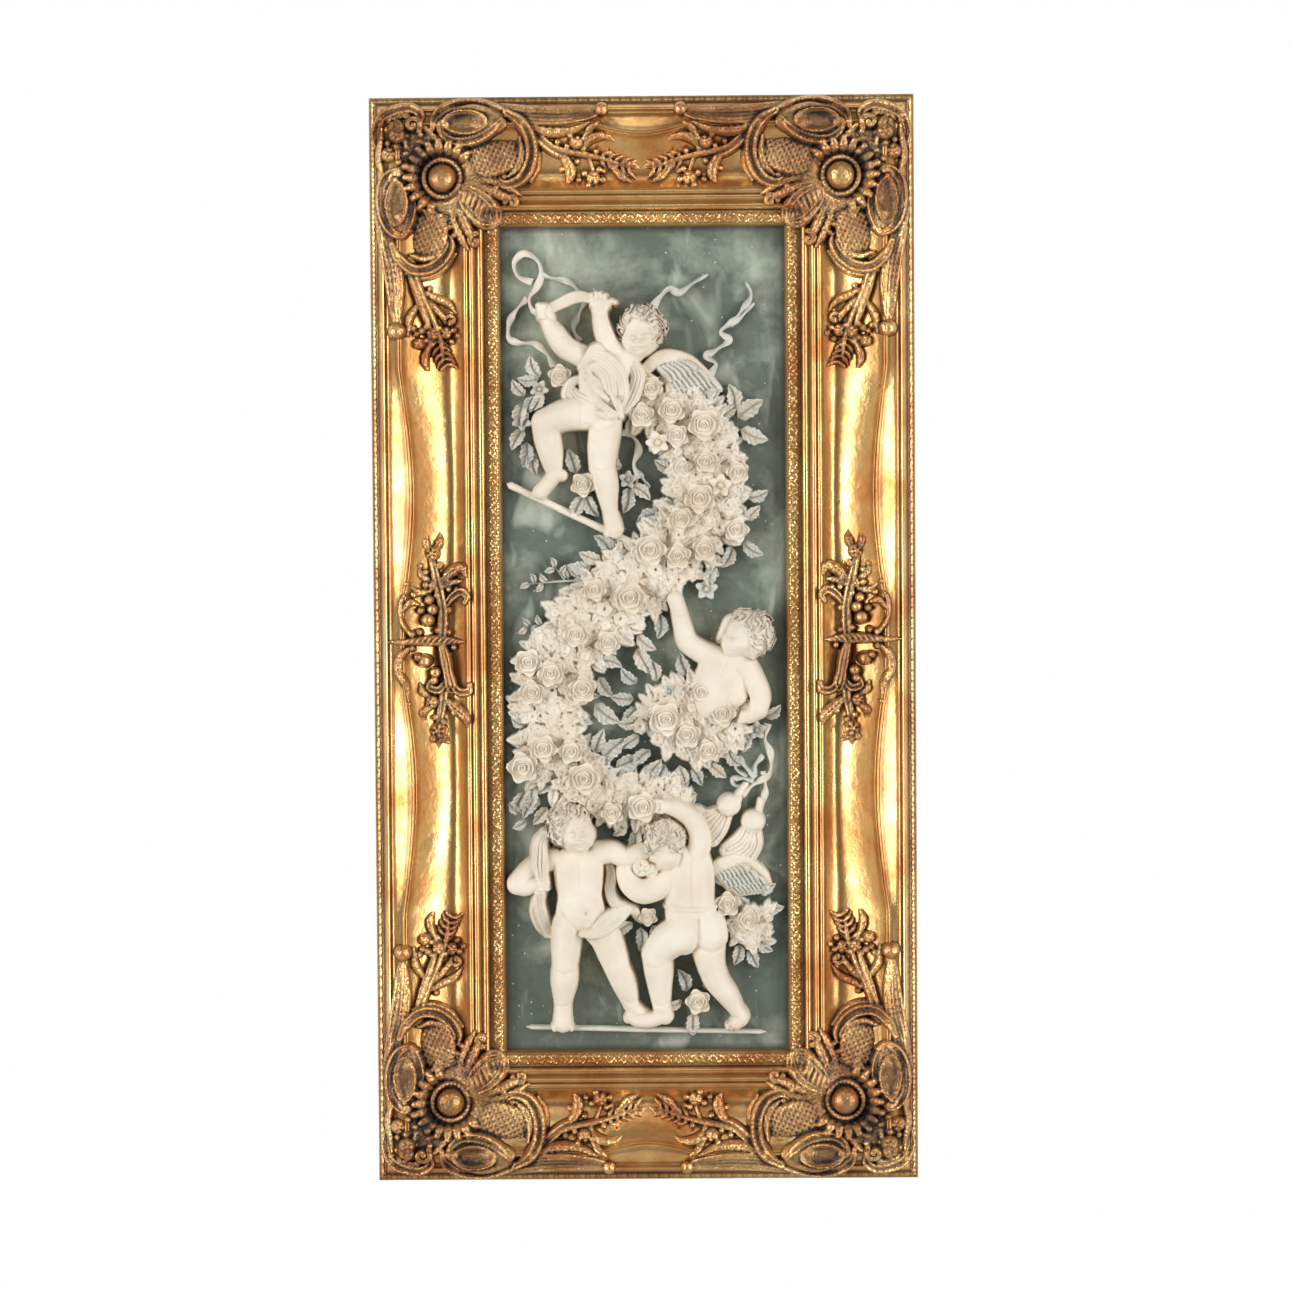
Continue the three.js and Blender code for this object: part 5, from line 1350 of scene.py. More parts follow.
# Wings, cut with rows of feathers under a smooth shoulder, and the two tassels on their
# cords. They lie on the figures and on the ground as parts of the same cream casting.
def wing_sheet(low, high, shoulder, rows):
    """A wing as a height field: a smooth stippled shoulder, then rows of long feathers,
    each row under the one before. A row is (first root, last root, first tip, last tip,
    count, lift)."""
    u, v = figure_grid(low, high, 0.5)
    field = np.full(u.shape, NOTHING_THERE)
    for (ru0, rv0), (ru1, rv1), (tu0, tv0), (tu1, tv1), count, lift in rows:
        for t in np.linspace(0, 1, count):
            root = (ru0 + (ru1 - ru0) * t, rv0 + (rv1 - rv0) * t)
            tip = (tu0 + (tu1 - tu0) * t, tv0 + (tv1 - tv0) * t)
            mid = ((root[0] + tip[0]) / 2 + 0.8, (root[1] + tip[1]) / 2 + 0.6)
            end = (root[0] * 0.12 + tip[0] * 0.88, root[1] * 0.12 + tip[1] * 0.88)
            quill = [(*root, lift, 1.6), (*mid, lift + 1.2 * t, 2.3)]
            quill += [(*end, lift - 0.4, 2.0), (*tip, lift - 1.6, 0.7)]
            cloth(field, u, v, quill, 0.9, "feather")
    mantle = strung(u, v, shoulder, 0.45)
    stipple = 0.25 * np.sin(u * 2.9 + 2 * np.sin(v * 1.7)) * np.sin(v * 2.7 + 2 * np.sin(u * 1.9))
    np.maximum(field, mantle + stipple, out=field)
    # Recesses between the feathers are marked for a tone wash and painted shade.
    hollow = np.clip((box_blur(np.maximum(field, 0), 3) - field) / 0.7 + 0.22, 0, 1)
    wash = np.clip(0.25 + 0.9 * hollow, 0, 1) * (field > mantle + 0.4)
    points = on_panel(u, v, np.maximum(field, -1.5))
    return field_sheet(points, field > UNDER_GROUND, hollow=hollow, wash=wash)


upper_wing = wing_sheet(
    (86, 400), (146, 446), [
        (92, 430, 8, 3.6), (98, 435, 9, 4.2), (105.6, 437, 9, 4.2), (117, 434.5, 8, 3.6),
        (127, 427, 7, 2.8), (135.5, 418.5, 5, 1.8),
    ], [
        ((104, 422), (121, 430), (120, 409), (138, 415.5), 8, 6.0),
        ((102, 426), (117, 432), (113, 413.5), (132, 420), 7, 7.8),
        ((100, 429), (113, 434), (107, 420), (124, 426), 6, 9.4),
    ],
)
lower_wing = wing_sheet(
    (122, 88), (174, 132), [
        (131, 114, 9, 3.6), (138, 118.5, 10, 4), (147.6, 120, 9, 3.8), (156, 117.5, 8, 3),
        (163, 112, 7, 2.3), (166.5, 105, 5, 1.5),
    ], [
        ((134, 107), (153, 116), (147, 98.5), (167, 100.5), 9, 6.0),
        ((133, 111), (150, 117.5), (141, 102.5), (161, 105), 8, 7.6),
        ((132, 114), (147, 119), (137, 107.5), (154, 111), 7, 9.2),
    ],
)
cast("wings", upper_wing, lower_wing)


def tassels():
    """Two tassels: a round knot over a skirt of threads in folds, on the ends of a cord."""
    u, v = figure_grid((116, 116), (174, 170), 0.5)
    field = joined(
        u, v, 0.5,
        (0.8, [(146, 159, 9, 3.2), (144.5, 157.5, 10, 4)]),
        (0.8, [(141.5, 155.3, 10, 6.8), (141, 155, 10, 6.8)]),
    )
    fix_on(field, u, v, [(156.5, 144.9, 10, 7), (156.3, 144.4, 10, 7)], 0.8)
    for threads in (
        ((135, 150, 9), (127, 147, 9.5), (121, 150, 8), (120, 150, 7)),
        ((138, 150, 9), (132, 143, 11), (128, 137, 9), (127, 135, 7)),
        ((136, 150, 9), (129, 145, 10.5), (124, 141, 8.5), (123, 140, 7)),
        ((139, 149, 9), (135, 141, 10), (131, 134, 8), (130.5, 133, 7)),
        ((153, 139, 9), (148, 132, 10.5), (141, 127, 8), (139.5, 126, 7)),
        ((155, 138, 9), (152, 130, 10), (147, 124, 8), (146, 123, 7)),
        ((157, 138, 9), (156.5, 130, 9), (153, 122, 7), (152.5, 121, 6)),
    ):
        cloth(field, u, v, [(*at, half) for at, half in zip(threads, (4, 5.2, 4.6, 2.5))], 0.5)
    fix_on(field, u, v, [(159.5, 150, 8, 2.4), (160.5, 154, 7, 2), (161, 158, 6, 1.8)])
    fix_on(field, u, v, [(146, 160, 8, 2.4), (149, 164, 7, 2), (152, 168, 6, 1.8)])
    creases(
        field, u, v,
        (1.4, 0.9, [(134, 152), (137.5, 150.5), (139.5, 147.5)]),
        (1.4, 0.9, [(150.5, 141.5), (154.5, 138.8), (160, 139.5)]),
    )
    return figure_sheet(u, v, field)


cast("tassels", tassels())


# Garland: a thick rope of roses, ruffled blossoms and leaves that winds down the panel,
# with the middle child's bunch and the loose sprigs, all part of the same casting.
GARLAND = [
    (82, 408, 11), (104, 405, 16), (122, 390, 19), (128, 367, 20), (126, 345, 21), (117, 324, 20),
    (98, 308, 18), (78, 293, 21), (59, 276, 21), (41, 256, 20), (31, 231, 19), (29, 206, 17), (34, 182, 16),
    (50, 168, 14), (72, 160, 13), (94, 157, 12), (114, 159, 8),
]
NOSEGAY = [(158, 86, 6), (154, 77, 9), (152, 69, 6)]
BUNCH = [(98, 208, 13), (107, 209, 20), (119, 210, 24), (131, 209, 21), (142, 210, 14)]


def window(u, v, at, reach):
    """The part of a grid within reach of a place."""
    step = u[0, 1] - u[0, 0]
    spans = []
    for middle in ((at[1] - v[0, 0]) / step, (at[0] - u[0, 0]) / step):
        low, high = int(middle - reach / step), int(middle + reach / step) + 2
        spans.append(slice(max(low, 0), max(high, 0)))
    return tuple(spans)


def petal(field, u, v, root, heading, long, wide, base, rise, pointed=False):
    """Lays a petal or leaf on the field. With x from root to tip and q the distance from
    its middle line in half widths, a petal is an ellipse cupped by 0.3 * wide * q^2; a
    pointed leaf is folded along a sunk midrib and toothed, with side veins."""
    c, s = math.cos(heading), math.sin(heading)
    near = window(u, v, (root[0] + 0.5 * long * c, root[1] + 0.5 * long * s), 0.5 * long + 2.5)
    if field[near].size == 0:
        return
    x = ((u[near] - root[0]) * c + (v[near] - root[1]) * s) / long
    y = (v[near] - root[1]) * c - (u[near] - root[0]) * s
    if pointed:
        t = np.clip(x, 0, 1)
        half = wide * np.sin(np.pi * t**0.75) ** 0.8 * (1 - 0.2 * np.mod(4.5 * t, 1.0)) + 0.15
        q = np.abs(y) / half
        top = base + rise * np.sin(2.2 * t) + 0.32 * wide * np.minimum(q, 1) ** 1.4
        top = top - 0.5 * np.exp(-((y / 0.55) ** 2))
        top = top + 0.22 * np.cos(2 * np.pi * (4.5 * t - 0.8 * q)) * (q < 1)
        height = top - 6 * np.maximum(np.abs(y) - half, 0) - 6 * long * np.maximum(np.abs(x - 0.5) - 0.5, 0)
    else:
        q = np.hypot(2 * x - 1, y / wide)
        q = q / (1 + 0.07 * np.cos(5 * np.arctan2(y / wide, 2 * x - 1) + 9 * heading))
        top = base + rise * np.clip(x, 0, 1.1) + 0.30 * wide * np.minimum(q, 1) ** 2
        height = top - 7 * wide * np.maximum(q - 1, 0)
    field[near] = np.maximum(field[near], height)


def posy(field, u, v, at, radius, lift, spin, rings=4):
    """A full small flower, three or four rings of cupped petals, each ring a step higher."""
    whole = (
        (6, 0.32, 0.70, 0.42, 0, 0.20), (5, 0.16, 0.60, 0.36, 0.22, 0.22),
        (4, 0.05, 0.44, 0.27, 0.42, 0.22), (3, 0, 0.25, 0.17, 0.56, 0.15),
    )
    for k, (count, start, long, wide, up, rise) in enumerate(whole[:rings]):
        for n in range(count):
            angle = spin + 2 * np.pi * n / count + 0.7 * k
            root = (at[0] + start * radius * math.cos(angle), at[1] + start * radius * math.sin(angle))
            size = (long * radius, wide * radius, lift + up * radius, rise * radius)
            petal(field, u, v, root, angle + 0.2, *size)


def garland_sheet(stations, low, high, step, edging, filling, seed):
    """The rope itself as one height field, along stations (u, v, half width): a core of
    height 2.7 + 0.3 * sqrt((half - 1.5)^2 - d^2), pointed leaves along both edges, then
    posies and leaves strewn over it at random."""
    rng = np.random.default_rng(seed)
    u, v = figure_grid(low, high, step)
    field = strung(u, v, [(a, b, 3.5, half - 1.5) for a, b, half in stations], 0.3) - 0.8
    line = smooth_line(stations, 1.0)
    ahead = np.gradient(line[:, :2], axis=0)
    course = np.arctan2(ahead[:, 1], ahead[:, 0])
    for k in range(edging):
        i = int((k + rng.uniform(0, 1)) / edging * (len(line) - 1))
        way = 1 if k % 2 else -1
        outward = course[i] + way * math.pi / 2
        way_out = np.array([math.cos(outward), math.sin(outward)])
        root = line[i, :2] + line[i, 2] * rng.uniform(0.5, 0.9) * way_out
        long = rng.uniform(9, 14.5)
        heading = outward - way * rng.uniform(-0.5, 1.0)
        petal(field, u, v, root, heading, long, long * 0.27, rng.uniform(3.5, 6.5), 1.5, pointed=True)
    taken = []
    for _ in range(filling * 12):
        place = line[rng.integers(len(line))]
        angle, share = rng.uniform(0, 2 * np.pi), math.sqrt(rng.uniform(0, 1))
        out = place[2] * share
        spot = (place[0] + out * math.cos(angle), place[1] + out * math.sin(angle))
        across = np.hypot(line[:, 0] - spot[0], line[:, 1] - spot[1]) / line[:, 2]
        edge = min(across.min(), 1.0)
        radius = rng.uniform(4.2, 6.8)
        free = all(math.hypot(spot[0] - a, spot[1] - b) > 0.66 * (radius + c) for a, b, c in taken)
        if len(taken) < filling and free:
            taken.append((*spot, radius))
            lift = 3.2 + 6.2 * math.sqrt(1 - 0.85 * edge**2)
            for _ in range(3):
                heading = rng.uniform(0, 2 * np.pi)
                petal(
                    field, u, v, spot, heading, radius * 1.7, radius * 0.42, lift + 0.3, 1.2, pointed=True,
                )
            posy(field, u, v, spot, radius, lift, rng.uniform(0, 6), rings=int(rng.integers(2, 5)))
    # Recesses between flowers and leaves are marked for a tone wash and painted shade.
    hollow = np.clip((box_blur(np.maximum(field, 0), 3) - field) / 2.0 + 0.05, 0, 1)
    wash = np.clip((7.5 - field) / 3.0, 0, 1) * 0.8
    points = on_panel(u, v, np.maximum(field, -1.5))
    return field_sheet(points, field > UNDER_GROUND, hollow=hollow, wash=wash)


def rose_sheet(u, v, h, radius, spin, around=26):
    """An open rose: rings of petals, each rising outward to its own rim and dropping to the
    next. The rims are circles pushed off centre and scalloped: q * (1 + a * cos(n * angle))."""
    angle = np.linspace(0, 2 * np.pi, around, endpoint=False)
    rims = ((0.13, 0.60, 3), (0.27, 0.62, 3), (0.45, 0.55, 4), (0.68, 0.42, 5), (1, 0.20, 5))
    # The rose's marks paint shade into the cream: darker on the floor between its rings of petals and on
    # the skirt under it.
    rows, heights, hollow = [np.zeros(around)], [np.full(around, 0.50)], [np.full(around, 0.3)]
    inner = np.zeros(around)
    for k, (q, rise, lobes) in enumerate(rims):
        phase = spin + 2.4 * k
        wave = np.cos(lobes * angle + phase)
        rim = q * (1 + 0.09 * wave * (0.5 + q)) + 0.05 * np.cos(angle - phase) * (q < 0.99)
        dip = 0.07 * (wave < -0.75)
        for share, level, dark in (
            (0.12, 0.42, 0.5), (0.5, 0.62, 0.08), (0.85, 0.93, 0), (1, 1, 0),
        ):
            rows.append(inner + (rim - inner) * share)
            floor_level = rise - 0.21
            heights.append(floor_level + (rise - dip - floor_level) * (level - 0.42) / 0.58)
            hollow.append(np.full(around, dark))
        inner = rim
    rows += [inner * 0.99, inner * 0.86]
    heights += [np.full(around, 0.0), np.full(around, -h / radius - 0.1)]
    hollow += [np.full(around, 0.5), np.full(around, 0.9)]
    q, z = np.array(rows) * radius, np.array(heights) * radius * 0.9
    points = on_panel(u + q * np.cos(angle), v + q * np.sin(angle), h + z)
    return sheet(points, wrap=True, hollow=np.array(hollow))


def blossom_sheet(u, v, h, radius, spin, wash=0.0, around=30, petals=5):
    """A small open flower: lobes cos(petals * angle) on the outline and a raised eye."""
    angle = np.linspace(0, 2 * np.pi, around, endpoint=False)
    q = np.array([0, 0.14, 0.26, 0.32, 0.5, 0.74, 0.93, 1.0, 0.85])[:, None]
    wave = np.cos(petals * angle + spin)
    out = radius * q * (1 + 0.20 * wave * q)
    level = np.array([0.50, 0.46, 0.34, 0.16, 0.24, 0.34, 0.34, 0.20, 0.0])[:, None]
    rise = radius * (level + 0.14 * wave * q)
    rise[-1] = -h - 0.5
    # Painted shade: dark in the well round the eye, between the petals and under the rim.
    hollow = np.array([0.1, 0.2, 0.6, 1.0, 0.35, 0.1, 0.0, 0.35, 0.9])[:, None] + np.zeros(around)
    hollow = np.clip(hollow + 0.5 * (wave < -0.7) * (q > 0.2), 0, 1)
    points = on_panel(u + out * np.cos(angle), v + out * np.sin(angle), h + rise)
    return sheet(points, wrap=True, hollow=hollow, wash=wash)


def leaf_sheet(u, v, h, length, width, heading, droop, wash=0.0, teeth=5.0):
    """A pointed leaf: its half width is width * sin(pi * t^0.8) with a toothed edge, folded
    up along a sunk midrib, with side veins, standing on a skirt that runs back and in."""
    t = np.linspace(0, 1, 13)[:, None]
    s = np.array([-0.75, -1, -0.78, -0.5, -0.24, -0.07, 0, 0.07, 0.24, 0.5, 0.78, 1, 0.75])[None, :]
    tooth = 1 - 0.30 * np.mod(teeth * t + 0.2, 1.0)
    half = width * np.sin(np.pi * t**0.8) ** 0.85 * tooth + 0.05
    bend = math.sin(5 * heading + u)
    side = half * s + 0.16 * length * np.sin(np.pi * t * 0.9) * bend
    fold = 0.62 * (np.abs(s) ** 1.1) * width * (1 + 0.5 * bend * np.sign(s))
    fold = fold - 0.6 * np.exp(-((s / 0.10) ** 2))
    veins = 0.34 * np.cos(2 * np.pi * (5 * t - 1.1 * np.abs(s))) * (np.abs(s) > 0.1)
    rise = h + 2.2 * np.sin(np.pi * t * 0.8) - droop * t * t + (fold + veins) * np.sin(np.pi * t) ** 0.7
    skirt = np.zeros(s.shape)
    skirt[:, [0, -1]] = 1
    rise = np.where(skirt > 0, np.maximum(rise - 2.2, -0.8) * 0.6 - 0.3, rise)
    along = length * t + 0 * s
    c, d = math.cos(heading), math.sin(heading)
    points = on_panel(u + along * c - side * d, v + along * d + side * c, rise)
    # Dark along the sunk midrib and veins, on the skirt and at the base: tone wash and painted shade.
    hollow = np.exp(-((s / 0.14) ** 2)) + 0.55 * (veins < -0.15) + 0.05 + 0.8 * skirt
    hollow = hollow + np.clip(0.9 - 3 * t, 0, 1)
    made = sheet(points, hollow=np.clip(hollow, 0, 1), wash=wash)
    made["faces"] = [f[:, ::-1] for f in made["faces"]]
    return made


ROSES = [
    (94, 417, 7, 14), (107, 403, 8, 15), (127, 394, 9.5, 16), (88, 400, 7.5, 15), (128, 371, 7, 16),
    (110, 387, 7, 15), (148, 364, 6.8, 13), (124, 348, 9, 17), (112, 335, 7.5, 16), (147, 328, 7.4, 12),
    (113, 367, 6, 14), (127, 316, 7.4, 15), (110, 312, 8, 16), (93, 316, 9.4, 17), (80, 286, 9.2, 17),
    (58, 291, 6.8, 15), (46, 263, 7.2, 16), (66, 258, 7.4, 14), (16, 246, 8.2, 14), (30, 239, 7.8, 16),
    (50, 229, 8.2, 15), (18, 227, 7.6, 14), (25, 192, 8.2, 16), (42, 190, 7.4, 15), (12, 180, 9.4, 14),
    (50, 173, 9.6, 17), (87, 155, 9.2, 17), (68, 151, 6.8, 14), (102, 210, 10, 16), (125, 227, 7.8, 15),
    (137, 213, 8.2, 13), (115, 200, 8.4, 15), (128, 190, 7, 13), (37, 425, 7, 8), (51, 357, 7.4, 8),
    (140, 93, 7.6, 11), (153, 83, 6.6, 12), (121, 31, 7.6, 8), (90, 85, 5.6, 8),
]
FLOWERS = [
    (24, 417, 5.2, 4), (13, 397, 5.5, 4), (79, 360, 5, 4), (66, 405, 4.5, 15), (128, 291, 6.2, 4),
    (47, 209, 6, 5), (159, 202, 5.4, 4), (104, 227, 4, 8), (148, 372, 5, 9), (98, 383, 6.5, 13),
    (137, 356, 6.5, 12),
]
LEAVES = [
    (24, 424, 13, 1.9), (24, 424, 12, 3.1), (25, 416, 12, 4.2), (14, 409, 14, 4.6), (15, 413, 11, 2.2),
    (14, 392, 13, 4.2), (16, 384, 14, 4.5), (19, 378, 13, 4.9), (16, 402, 11, 1), (51, 350, 14, 4.3),
    (53, 350, 13, 5.3), (47, 364, 14, 1.9), (79, 355, 14, 4.5), (81, 356, 13, 5.6), (74, 366, 12, 1.9),
    (146, 402, 15, 1.8), (148, 398, 17, 0.6), (150, 391, 16, -0.35), (133, 406, 12, 1.3),
    (138, 398, 11, 0.6), (154, 348, 12, 0.4), (153, 334, 11, 0.8), (151, 320, 13, -0.5),
    (144, 318, 13, 4.2), (133, 306, 13, 4.6), (136, 302, 11, 3.9), (100, 338, 14, 3.5), (96, 326, 13, 3.7),
    (107, 366, 11, 2.6), (62, 309, 13, 2.75), (56, 306, 13, 3.05), (68, 314, 13, 2.4), (60, 301, 13, 3.3),
    (74, 317, 12, 2.1), (52, 301, 11, 2.7), (33, 305, 6, 2), (36, 301, 6, 1), (33, 304, 6, 3.4),
    (41, 298, 6, 1.9), (28, 296, 6, 2.2), (25, 295.5, 6, 4), (20, 295, 6, 2), (17, 295, 6, 3.6),
    (24, 269, 6, 1.9), (22, 269, 6, 4.2), (17, 268, 6, 2.3), (15, 268, 6, 3.7), (29, 269, 6, 4.4),
    (84, 262, 13, -0.6), (84, 254, 16, -1.05), (98, 276, 14, 4.6), (60, 246, 13, -0.3), (60, 236, 13, -0.9),
    (57, 219, 17, -0.6), (84, 232, 12, 2.3), (96, 233, 12, 1.9), (82, 222, 13, 3), (84, 217, 12, 3.9),
    (85, 208, 12, 3.2), (85, 199, 12, 3.7), (92, 190, 13, 4), (101, 181, 12, 4.4), (110, 180, 12, 4.8),
    (119, 180, 12, 5.1), (129, 181, 12, 5.6), (140, 190, 12, 5.5), (143, 200, 12, -0.5),
    (154, 200, 11, 4.4), (164, 210, 11, 0.7), (117, 236, 14, 1.9), (146, 216, 12, 0.5), (62, 184, 17, 0.7),
    (70, 178, 16, 0.4), (57, 188, 14, 1.2), (98, 168, 16, 0.35), (104, 163, 15, -0.1), (90, 172, 13, 0.9),
    (83, 140, 13, 4.7), (76, 146, 11, 4), (18, 168, 14, 4.6), (22, 160, 14, 4.1), (14, 164, 13, 4.3),
    (27, 154, 12, 4), (14, 206, 9, 2.6), (14, 214, 9, 3.5), (80, 81, 12, 3.9), (85, 78, 13, 4.6),
    (92, 79, 11, 5.4), (148, 67, 12, 4.4), (154, 65, 12, 5.1), (159, 71, 11, 5.6), (163, 92, 11, -0.1),
    (161, 98, 10, 0.6), (114, 37, 13, 2), (118, 24, 13, 4.7), (126, 38, 11, 1.2), (111, 31, 9, 3.3),
    (10, 150, 9, 2.3), (14, 146, 9, 3.6),
]


def sprigs():
    """The flowers and leaves that were measured one by one, on the rope and beside it."""
    rng = np.random.default_rng(7)
    sheets = [rose_sheet(u, v, h, r, rng.uniform(0, 6)) for u, v, r, h in ROSES]
    for u, v, r, h in FLOWERS:
        sheets.append(blossom_sheet(u, v, h, r, rng.uniform(0, 6), wash=0.75 if h < 9 else 0.0))
    for u, v, length, heading in LEAVES:
        wash = rng.uniform(0.35, 0.85)
        sheets.append(leaf_sheet(u, v, 4.5, 1.18 * length, 0.38 * length, heading, 1.5, wash=wash))
    return sheets


rope = garland_sheet(GARLAND, (-2, 134), (158, 432), step=0.6, edging=250, filling=170, seed=5)
cast("garland", rope)
bunch = garland_sheet(BUNCH, (72, 164), (168, 248), step=0.6, edging=66, filling=34, seed=9)
cast("bunch", bunch)
nosegay = garland_sheet(NOSEGAY, (130, 50), (176, 106), step=0.6, edging=16, filling=8, seed=11)
cast("nosegay", nosegay)
cast("roses_and_leaves", *sprigs())


# Ribbons that flutter from the upper child's hands and tie the tassels, the pole underfoot
# and the low ledge at the bottom.
def closed_tube(points, **marks):
    """Rings of points joined into a tube that faces outward, with a lid on both ends."""
    made = sheet(points, wrap=True, **marks)
    count, sides = points.shape[:2]
    ring = np.arange(sides)[None, :]
    lids = [ring, ring[:, ::-1] + (count - 1) * sides]
    made["faces"] = [f[:, ::-1] for f in made["faces"]] + lids
    return made


def band_sheet(stations, half, turns, wash, phase=0.4, sides=8):
    """A flat ribbon along a curve: an ellipse for a section, turned about the curve by
    phase + 2 * pi * turns * t as the ribbon twists."""
    line = smooth_line(stations, 1.2)
    ahead = np.gradient(line[:, :3], axis=0)
    ahead /= np.linalg.norm(ahead, axis=1)[:, None] + 1e-9
    side = np.stack([-ahead[:, 1], ahead[:, 0], 0 * ahead[:, 0]], -1)
    side /= np.linalg.norm(side, axis=1)[:, None] + 1e-9
    up = np.cross(ahead, side)
    t = np.linspace(0, 1, len(line))
    twist = phase * np.sin(2 * np.pi * turns * t)
    angle = np.linspace(0, 2 * np.pi, sides, endpoint=False)[None, :]
    wide = (line[:, 3] * half)[:, None] * np.cos(angle)
    deep = 0.55 * np.sin(angle) - 0.25 * np.cos(angle) ** 2
    c, s = np.cos(twist)[:, None], np.sin(twist)[:, None]
    across, out = wide * c - deep * s, wide * s + deep * c
    at = line[:, None, :3] + across[..., None] * side[:, None] + out[..., None] * up[:, None]
    # Painted shade on the side of the ribbon that faces the ground.
    hollow = np.clip(0.5 - 0.8 * np.sin(angle), 0, 1) * 0.5 + 0 * across
    points = on_panel(at[..., 0], at[..., 1], at[..., 2])
    return closed_tube(points, hollow=hollow, wash=wash)


def ribbons():
    """Every ribbon, as (stations, turns, wash), and the strap between the raised hands."""
    half = 2.5
    runs = [
        ([
            (20, 484, 3, 1), (11, 488, 3, 1), (9, 496, 3.5, 1), (15, 502, 3.5, 1), (23, 498, 3.5, 1),
            (26, 489, 3, 1), (23, 481, 4, 1), (18, 474, 4, 1), (20, 466, 6, 1), (26, 464, 9, 1),
        ], 1.5, 0.15),
        ([
            (24, 489, 2.5, 1), (33, 486, 2.5, 1), (43, 484, 2.5, 1), (49, 478, 2.5, 1), (50, 473, 2.5, 0.5),
        ], 1.0, 0.7),
        ([
            (17, 474, 3, 1), (10, 467, 3, 1), (6, 460, 3, 1), (5, 450, 3, 1), (11, 446, 3, 1),
            (22, 445, 3, 1), (29, 439, 3, 1), (33, 431, 4, 0.8),
        ], 2.0, 0.35),
        ([(53, 472, 2.5, 0.8), (48, 462, 2.5, 1), (46, 454, 2.5, 1), (50, 447, 3, 0.8)], 1.0, 0.7),
        ([
            (95, 467, 3, 1.2), (101, 475, 3, 1.3), (106, 479, 3, 1.2), (112, 477, 3, 1.1),
            (121, 483, 2.5, 1), (130, 488, 2, 0.3),
        ], 1.0, 0.75),
        ([
            (131, 425, 2.5, 1.1), (135, 432, 3, 1.2), (129, 437, 3, 1.1), (135, 441, 3, 1.2),
            (143, 447, 3, 1.1), (138, 452, 3, 1), (144, 457, 3, 1.1), (152, 463, 2.5, 1),
            (159, 470, 2, 0.3),
        ], 2.0, 0.6),
        ([(144, 456, 2.5, 0.8), (152, 466, 2.5, 0.9), (157, 475, 2, 0.8), (154, 483, 1.5, 0.3)], 1.0, 0.8),
        ([
            (75, 390, 3, 1), (83, 386, 3, 1.1), (86, 378, 3, 1.1), (83, 369, 2.5, 1.2), (87, 361, 2, 1.3),
        ], 1.0, 0.55),
        ([(86, 364, 2, 0.6), (90, 358, 2, 0.9), (93, 355, 1.5, 0.2)], 0.5, 0.75),
        ([(85, 364, 2, 0.6), (84, 358, 2, 0.9), (83, 354, 1.5, 0.2)], 0.5, 0.75),
        ([
            (166, 206, 4, 1), (164, 196, 4, 1), (168, 186, 4, 1), (167, 174, 4, 1), (160, 170, 5, 1),
            (154, 166, 6, 1), (149, 161, 8, 1),
        ], 1.5, 0.3),
        ([(163, 176, 4, 0.8), (164, 166, 4, 1), (163, 156, 5, 1), (160, 148, 8, 1)], 1.0, 0.3),
        ([
            (158, 172, 5, 0.8), (152, 179, 4, 1.1), (148, 184, 3, 0.9), (146, 178, 3, 1),
            (153, 173, 4, 0.6),
        ], 1.0, 0.8),
        ([
            (157, 170, 5, 0.8), (150, 172, 4, 1.1), (144, 171, 3, 0.9), (146, 167, 3, 1),
            (154, 168, 4, 0.6),
        ], 1.0, 0.8),
        ([(163, 186, 3, 0.8), (158, 180, 3, 1), (157, 174, 4, 0.8)], 0.5, 0.8),
    ]
    sheets = [band_sheet(stations, half, turns, wash, phase=1.25) for stations, turns, wash in runs]
    strap = [(30, 466, 14, 1.2), (38, 470, 13, 1.5), (48, 474, 13, 1.6), (58, 473, 15, 1.2)]
    sheets.append(band_sheet(strap, 2.6, 0.5, 0.0, phase=0.3))
    return sheets


cast("ribbons", *ribbons())


def rod_sheet(stations, sides, squash, wash):
    """A round or flattened rod along a nearly straight line, with closed rounded ends."""
    line = np.asarray(stations, float)
    t = np.linspace(0, 1, 40)
    place = t * (len(line) - 1)
    at = np.stack([np.interp(place, range(len(line)), line[:, k]) for k in range(4)], -1)
    to_end = np.minimum(t, 1 - t)
    rounded = np.sqrt(np.clip(1 - (1 - to_end / 0.02) ** 2, 0.02, 1))
    ends = np.where(to_end < 0.02, rounded, 1.0)
    ahead = at[-1, :2] - at[0, :2]
    ahead /= np.hypot(*ahead)
    angle = np.linspace(0, 2 * np.pi, sides, endpoint=False)[None, :]
    r = (at[:, 3] * ends * (1 + 0.05 * np.sin(t * 37) * np.sin(t * 11)))[:, None]
    u = at[:, 0:1] - r * np.cos(angle) * ahead[1]
    v = at[:, 1:2] + r * np.cos(angle) * ahead[0]
    h = at[:, 2:3] + r * squash * np.sin(angle)
    # Painted shade on the side of the rod that faces the ground.
    hollow = np.clip(0.2 - 0.8 * np.sin(angle), 0, 1) + 0 * r
    return closed_tube(on_panel(u, v, h), hollow=hollow, wash=wash)


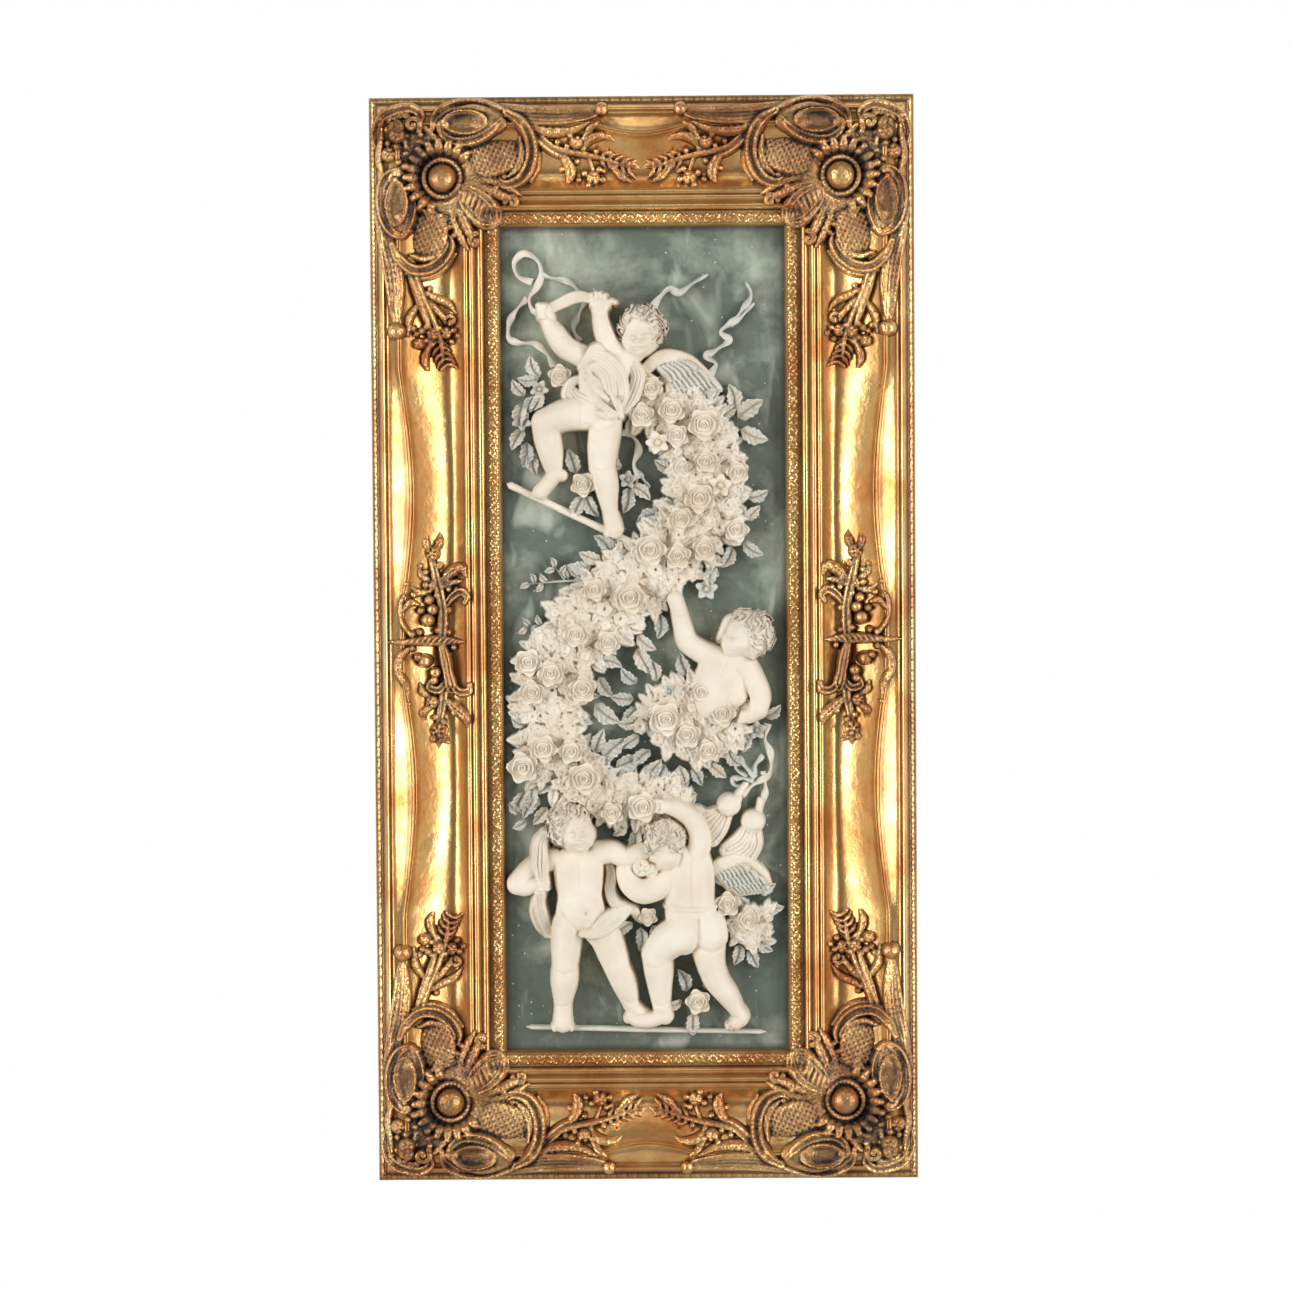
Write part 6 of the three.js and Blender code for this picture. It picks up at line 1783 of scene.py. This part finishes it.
cast("pole", rod_sheet([(3, 358, 4, 2.3), (82, 320, 6, 2.3)], sides=12, squash=1.0, wash=0.0))
stems = [
    rod_sheet([
        (50, 297, 1.6, 0.9), (30, 296, 1.5, 0.7), (15, 294.5, 1.3, 0.4),
    ], sides=6, squash=1.0, wash=0.5),
    rod_sheet([(39, 297, 1.6, 0.6), (33, 305, 1.4, 0.4)], sides=6, squash=1.0, wash=0.5),
    rod_sheet([
        (36, 268, 1.6, 0.8), (24, 269, 1.5, 0.7), (14, 268, 1.3, 0.4),
    ], sides=6, squash=1.0, wash=0.5),
]
cast("fern_stems", *stems)
ledge = rod_sheet([
    (12, 15, 1.5, 1.6), (88, 13, 1.5, 1.9), (164, 11, 1.5, 1.4),
], sides=10, squash=3.4, wash=0.55)
cast("ledge", ledge)


# Camera at the photograph's place, a pale floor below, and soft light from tall sources on
# both sides with a dimmer room behind the camera.
def turn(axis, degrees):
    """A turn about one axis of the frame."""
    return Matrix.Rotation(math.radians(degrees), 4, axis)


camera = bpy.data.objects.new("camera", bpy.data.cameras.new("camera"))
bpy.context.scene.collection.objects.link(camera)
camera.data.sensor_width = 36.0
camera.data.lens = 105.96
tilt = turn("Z", 0.531) @ turn("Y", 0.408) @ turn("X", -2.346)
camera.matrix_world = Matrix.Translation((0.0229, -2.4006, -0.2083)) @ tilt @ turn("X", 90)
bpy.context.scene.camera = camera


def plain(name, colour, roughness):
    """A material of one colour."""
    material = bpy.data.materials.new(name)
    material.use_nodes = True
    shader = material.node_tree.nodes["Principled BSDF"]
    shader.inputs["Base Color"].default_value = colour
    shader.inputs["Roughness"].default_value = roughness
    return material


floor_mesh = bpy.data.meshes.new("floor")
floor_corners = [(-3, -3.2, -1.3), (3, -3.2, -1.3), (3, 2, -1.3), (-3, 2, -1.3)]
floor_mesh.from_pydata(floor_corners, [], [(0, 1, 2, 3)])
floor_mesh.materials.append(plain("pale_floor", (0.52, 0.52, 0.51, 1), 0.8))
floor = bpy.data.objects.new("floor", floor_mesh)
bpy.context.scene.collection.objects.link(floor)


def softbox(name, place, aim, width, height, power):
    """A rectangular lamp at a place in metres, aimed at a point, its power in watts."""
    lamp = bpy.data.lights.new(name, "AREA")
    lamp.shape = "RECTANGLE"
    lamp.size = width
    lamp.size_y = height
    lamp.energy = power
    holder = bpy.data.objects.new(name, lamp)
    holder.location = place
    holder.rotation_euler = (Vector(aim) - Vector(place)).to_track_quat("-Z", "Y").to_euler()
    bpy.context.scene.collection.objects.link(holder)


softbox("left_light", (-1.5, -1.1, -0.2), (0, 0, -0.3), width=0.8, height=1.8, power=26)
softbox("right_light", (1.5, -1.1, -0.2), (0, 0, -0.3), width=0.8, height=1.8, power=26)
softbox("front_light", (-0.5, -2.6, 0.9), (0, 0, -0.3), width=1.2, height=0.9, power=4.5)
softbox("overhead_light", (0.1, -1, 1.1), (0, 0, -0.4), width=1.4, height=0.4, power=3)

world = bpy.data.worlds.new("studio")
bpy.context.scene.world = world
world.use_nodes = True
nodes, links = world.node_tree.nodes, world.node_tree.links
direction = nodes.new("ShaderNodeTexCoord")
axes = nodes.new("ShaderNodeSeparateXYZ")
links.new(direction.outputs["Generated"], axes.inputs["Vector"])
ramp = nodes.new("ShaderNodeMapRange")
ramp.inputs["From Min"].default_value = 0.05
ramp.inputs["From Max"].default_value = 0.4
ramp.inputs["To Min"].default_value = 0.11
ramp.inputs["To Max"].default_value = 1.0
links.new(axes.outputs["Y"], ramp.inputs["Value"])
links.new(ramp.outputs["Result"], nodes["Background"].inputs["Color"])
nodes["Background"].inputs["Strength"].default_value = 1.0
bpy.context.scene.view_settings.view_transform = "Standard"
